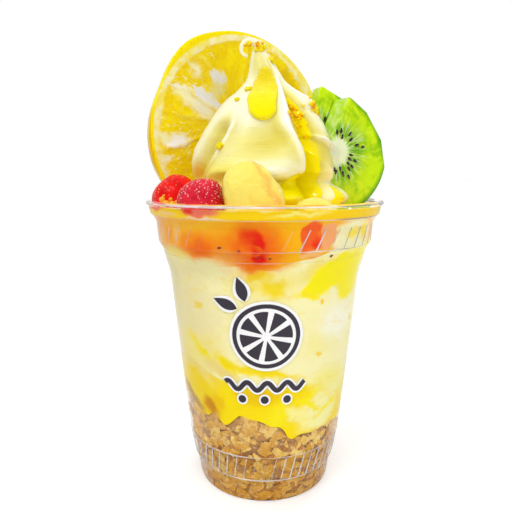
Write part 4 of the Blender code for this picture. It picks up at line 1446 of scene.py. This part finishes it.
def orange_relief(across, upward):
    """Flesh sinks a little between the membranes, and its cells bulge along the rays."""
    x, z = across - ORANGE_CORE[0], upward - ORANGE_CORE[1]
    angle, distance = np.arctan2(z, x), np.hypot(x, z)
    away = [np.abs((angle - math.radians(a) + math.pi) % (2 * math.pi) - math.pi) for a in MEMBRANES]
    share = np.hypot(across / ORANGE_HALF_WIDTH, upward / ORANGE_HALF_HEIGHT)
    inward = (1 - share) * ORANGE_HALF_WIDTH
    edge = RIND_DEPTH + PITH_DEPTH
    flesh = smoothstep(edge - 0.5, edge + 1.2, inward)
    flesh = flesh * smoothstep(0.3, 1.4, np.min(away, axis=0) * distance)
    rays = np.stack([angle * 7, distance * 0.16, 0 * angle], axis=-1)
    return flesh * (0.3 + 0.35 * noise_at(rays, 1, 2))


def make_orange():
    reach = orange_reach
    shape = slab(reach, reach, ORANGE_THICKNESS, ORANGE_EDGE, ORANGE_ROWS, orange_relief)
    make_piece("orange_round", shape, orange_material(), "orange_slice", ORANGE_PLACE, ORANGE_YAW)


def kiwi_reach(facts, slant):
    """The outline of a slice. slant moves its first flat, the cut edge at its left, outwards."""
    (cut, depth), *others = facts["flats"]
    flats = [(cut, depth + slant)] + others

    def reach(angle):
        distance = facts["radius"]
        for flat_angle, flat_distance in flats:
            facing = math.cos(angle - math.radians(flat_angle))
            if facing > 0:
                distance = min(distance, flat_distance / facing)
        return distance

    return reach


def pip(centre, along, length, width):
    """A kiwi seed: a pointed oval, lying along a direction in the slice's plane."""
    side = np.array([-along[2], 0, along[0]])
    deep = np.array([0, 0.6, 0])
    around = np.radians(turns(8))[:, None]
    rings = []
    for t in np.linspace(-1, 1, 9)[1:-1]:
        girth = width * math.sqrt(1 - t * t) * (1 - 0.35 * t)
        rings.append(centre + along * t * length + (side * np.cos(around) + deep * np.sin(around)) * girth)
    return skin(rings, centre - along * length, centre + along * length)


def make_kiwi(name, facts, flesh, dark):
    front, back = kiwi_reach(facts, 0), kiwi_reach(facts, facts["slant"])
    shape = slab(front, back, KIWI_THICKNESS, KIWI_EDGE, KIWI_ROWS)
    make_piece(name, shape, flesh, facts["node"], facts["place"], KIWI_YAW)
    rng = random.Random(facts["random_seed"])
    parts = []
    middle = np.array([KIWI_MIDDLE[0], 0, KIWI_MIDDLE[1]])
    for side in (-1, 1):
        places = [np.array([x, 0, z]) for x, z in facts["seeds"]] if side < 0 else []
        known = len(places)
        for i in range(KIWI_SEEDS):
            angle = 2 * math.pi * (i + rng.uniform(-0.35, 0.35)) / KIWI_SEEDS
            distance = rng.choice(KIWI_SEED_RINGS) + rng.uniform(-0.7, 0.7)
            listed = known and abs(angle - math.pi) > 0.45 * math.pi
            if not listed and distance < front(angle) - 1:
                places.append(middle + distance * np.array([math.cos(angle), 0, math.sin(angle)]))
        for place in places:
            centre = place + np.array([0, side * (KIWI_THICKNESS / 2 + 0.05), 0])
            parts.append(pip(centre, unit(place - middle), rng.uniform(1, 1.35), rng.uniform(0.5, 0.62)))
    make_piece(name + "_seeds", joined(parts), dark, None, facts["place"], KIWI_YAW)


def make_kiwis():
    flesh = kiwi_material()
    dark = plain_material("kiwi_seed", (52, 18, 26), 0.2, 0.6)
    for name, facts in KIWIS.items():
        make_kiwi(name, facts, flesh, dark)


# ---------------------------------------------------------------- berries and chunks

def blob_points(lift, around, facts):
    """Points of a rounded lump, a superellipsoid made uneven by smooth noise, as in the solids."""
    def soft(value):
        return np.sign(value) * np.abs(value) ** facts["roundness"]

    size = facts["size"]
    narrow = 1 - facts["taper"] * np.maximum(0, np.sin(lift))
    z = size[2] * soft(np.sin(lift))
    x = size[0] * soft(np.cos(around)) * soft(np.cos(lift)) * narrow + facts["lean"] * z / size[2]
    y = size[1] * soft(np.sin(around)) * soft(np.cos(lift)) * narrow
    points = np.stack([x, y, z], axis=-1)
    uneven = noise_at(points * LUMP_SCALE, 1, facts["place"][0], (1, 0, 0))
    return points * (1 + facts["lumps"] * uneven)[..., None]


def make_strawberry(name, flesh, seed_and_glint_look, achenes, size):
    facts = dict(zip(BLOB_FACTS, BLOBS[name]))
    rings = blob_points(*globe(*BLOB_GRID), facts)
    rng = random.Random(4)
    golden = math.pi * (3 - math.sqrt(5))
    index = np.arange(achenes)
    shift = np.array([[rng.uniform(-0.5, 0.5), rng.uniform(-0.2, 0.2)] for _ in index])
    lift = np.arcsin(np.clip(1 - 2 * (index + 0.5 + shift[:, 0]) / achenes, -0.99, 0.99))
    places = blob_points(lift, (index * golden + shift[:, 1]) % (2 * math.pi), facts)
    away = np.min(np.linalg.norm(rings[..., None, :] - places, axis=-1), axis=-1)
    dented = 0.35 * hump(away, 0, 0.5) - 0.12 * smoothstep(0.5, 1, away)
    shape = skin(rings - unit(rings) * dented[..., None])
    make_piece(name + "_fruit", shape, flesh, name, facts["place"], facts["turn"])
    # Seeds: gold on the left berry, and pale painted glints for its glossy highlights on the right berry.
    parts = [lump(place - unit(place) * 0.12, size * rng.uniform(0.6, 1.4), rng, 4, 6) for place in places]
    make_piece(name + "_seeds", joined(parts), seed_and_glint_look, None, facts["place"], facts["turn"])


def make_peach(name, flesh):
    facts = dict(zip(BLOB_FACTS, BLOBS[name]))
    rings = blob_points(*globe(*BLOB_GRID), facts)
    rough = sum(size * noise_at(rings, scale, seed) for size, scale, seed in PEACH_NOISE)
    shape = skin(rings + unit(rings) * (rough - 0.4)[..., None])
    make_piece(name + "_fruit", shape, flesh, name, facts["place"], facts["turn"])


def make_fruit():
    golden = plain_material("achene_gold", (255, 214, 120), 0.35)
    bright = strawberry_material("strawberry_bright", (248, 18, 12), (216, 4, 8))
    make_strawberry("strawberry_left", bright, golden, achenes=150, size=0.2)
    # The right berry's many pale seeds are painted glints: their pale colour stands for its glossy
    # highlights.
    pale = plain_material("pale_seed_glint", (255, 196, 186), 0.3)
    pink = strawberry_material("strawberry_pink", (228, 36, 60), (200, 14, 44))
    make_strawberry("strawberry_right", pink, pale, achenes=400, size=0.24)
    peach = peach_material()
    for name in ("peach_chunk", "peach_chunk_small"):
        make_peach(name, peach)


def make_crumbs():
    rng = random.Random(9)
    parts = [lump((x, y, z), size, rng) for x, y, z, size in CRUMBS]
    look = plain_material("orange_crumb", (252, 184, 44), 0.3, 0.2)
    make_piece("orange_crumbs", joined(parts), look)


# ---------------------------------------------------------------- stage

def make_sky():
    """White to the camera, an even soft light, and in mirrored rays darker before the cup than behind it."""
    world = bpy.data.worlds.new("studio")
    bpy.context.scene.world = world
    world.use_nodes = True
    nodes = Nodes(world.node_tree)
    sky = nodes.tree.nodes["Background"]
    nodes.feed(sky.inputs["Color"], (1, 1, 1, 1))
    rays = nodes.rays()
    heading = nodes.add("ShaderNodeTexCoord", {}, "Generated")
    behind = nodes.add("ShaderNodeSeparateXYZ", {0: heading}, "Y")
    mirror = nodes.between(behind, SKY_BEFORE, SKY_BEHIND, -0.5, 0.5)
    plain = nodes.between(nodes.seen(rays), SKY_LIGHT, 1)
    nodes.feed(sky.inputs["Strength"], nodes.between(rays["Is Glossy Ray"], plain, mirror))


def hang_light(name, kind, power, heading, place=(0, 0, 0), mirrored=False):
    light = bpy.data.lights.new(name, kind)
    light.energy = power
    lamp = bpy.data.objects.new(name, light)
    lamp.location = place
    lamp.rotation_euler = Vector(heading).to_track_quat("-Z", "Y").to_euler()
    lamp.visible_glossy = mirrored
    bpy.context.scene.collection.objects.link(lamp)
    return light


def make_lights():
    for name, place, size, power, mirrored in SOFT_BOXES:
        light = hang_light(name, "AREA", power, Vector(LIT_PLACE) - Vector(place), place, mirrored)
        light.shape = "RECTANGLE"
        light.size = light.size_y = size
    sun = hang_light("sun", "SUN", SUN_POWER, SUN_HEADING)
    sun.angle = math.radians(SUN_SPREAD)


def make_stage():
    place = (0, 0, -FLOOR_DROP)
    bpy.ops.mesh.primitive_circle_add(vertices=96, radius=FLOOR_RADIUS, fill_type="NGON", location=place)
    floor = bpy.context.object
    floor.name = "floor"
    looks = Looks("floor", (226, 226, 226), 0.8)
    looks.set("Emission Color", (1, 1, 1, 1))
    looks.set("Emission Strength", looks.times(looks.seen(looks.rays()), FLOOR_LIFT))
    floor.data.materials.append(looks.finish(specular=0.1))
    make_sky()
    make_lights()


def make_camera():
    camera_data = bpy.data.cameras.new("camera")
    camera_data.sensor_width = SENSOR_WIDTH
    camera_data.lens = CAMERA_FOCAL_PIXELS / PICTURE_WIDTH * SENSOR_WIDTH
    camera_data.clip_start = 0.005
    camera = bpy.data.objects.new("camera", camera_data)
    camera.location = CAMERA_PLACE
    camera.rotation_euler = (math.radians(90 - CAMERA_PITCH), 0, 0)
    bpy.context.scene.collection.objects.link(camera)
    bpy.context.scene.camera = camera


make_cup()
make_ribs()
make_print()
make_fill()
make_cereal()
make_swirl()
make_sauce()
make_zest()
make_orange()
make_kiwis()
make_fruit()
make_crumbs()
make_stage()
make_camera()
bpy.context.scene.view_settings.view_transform = "Standard"
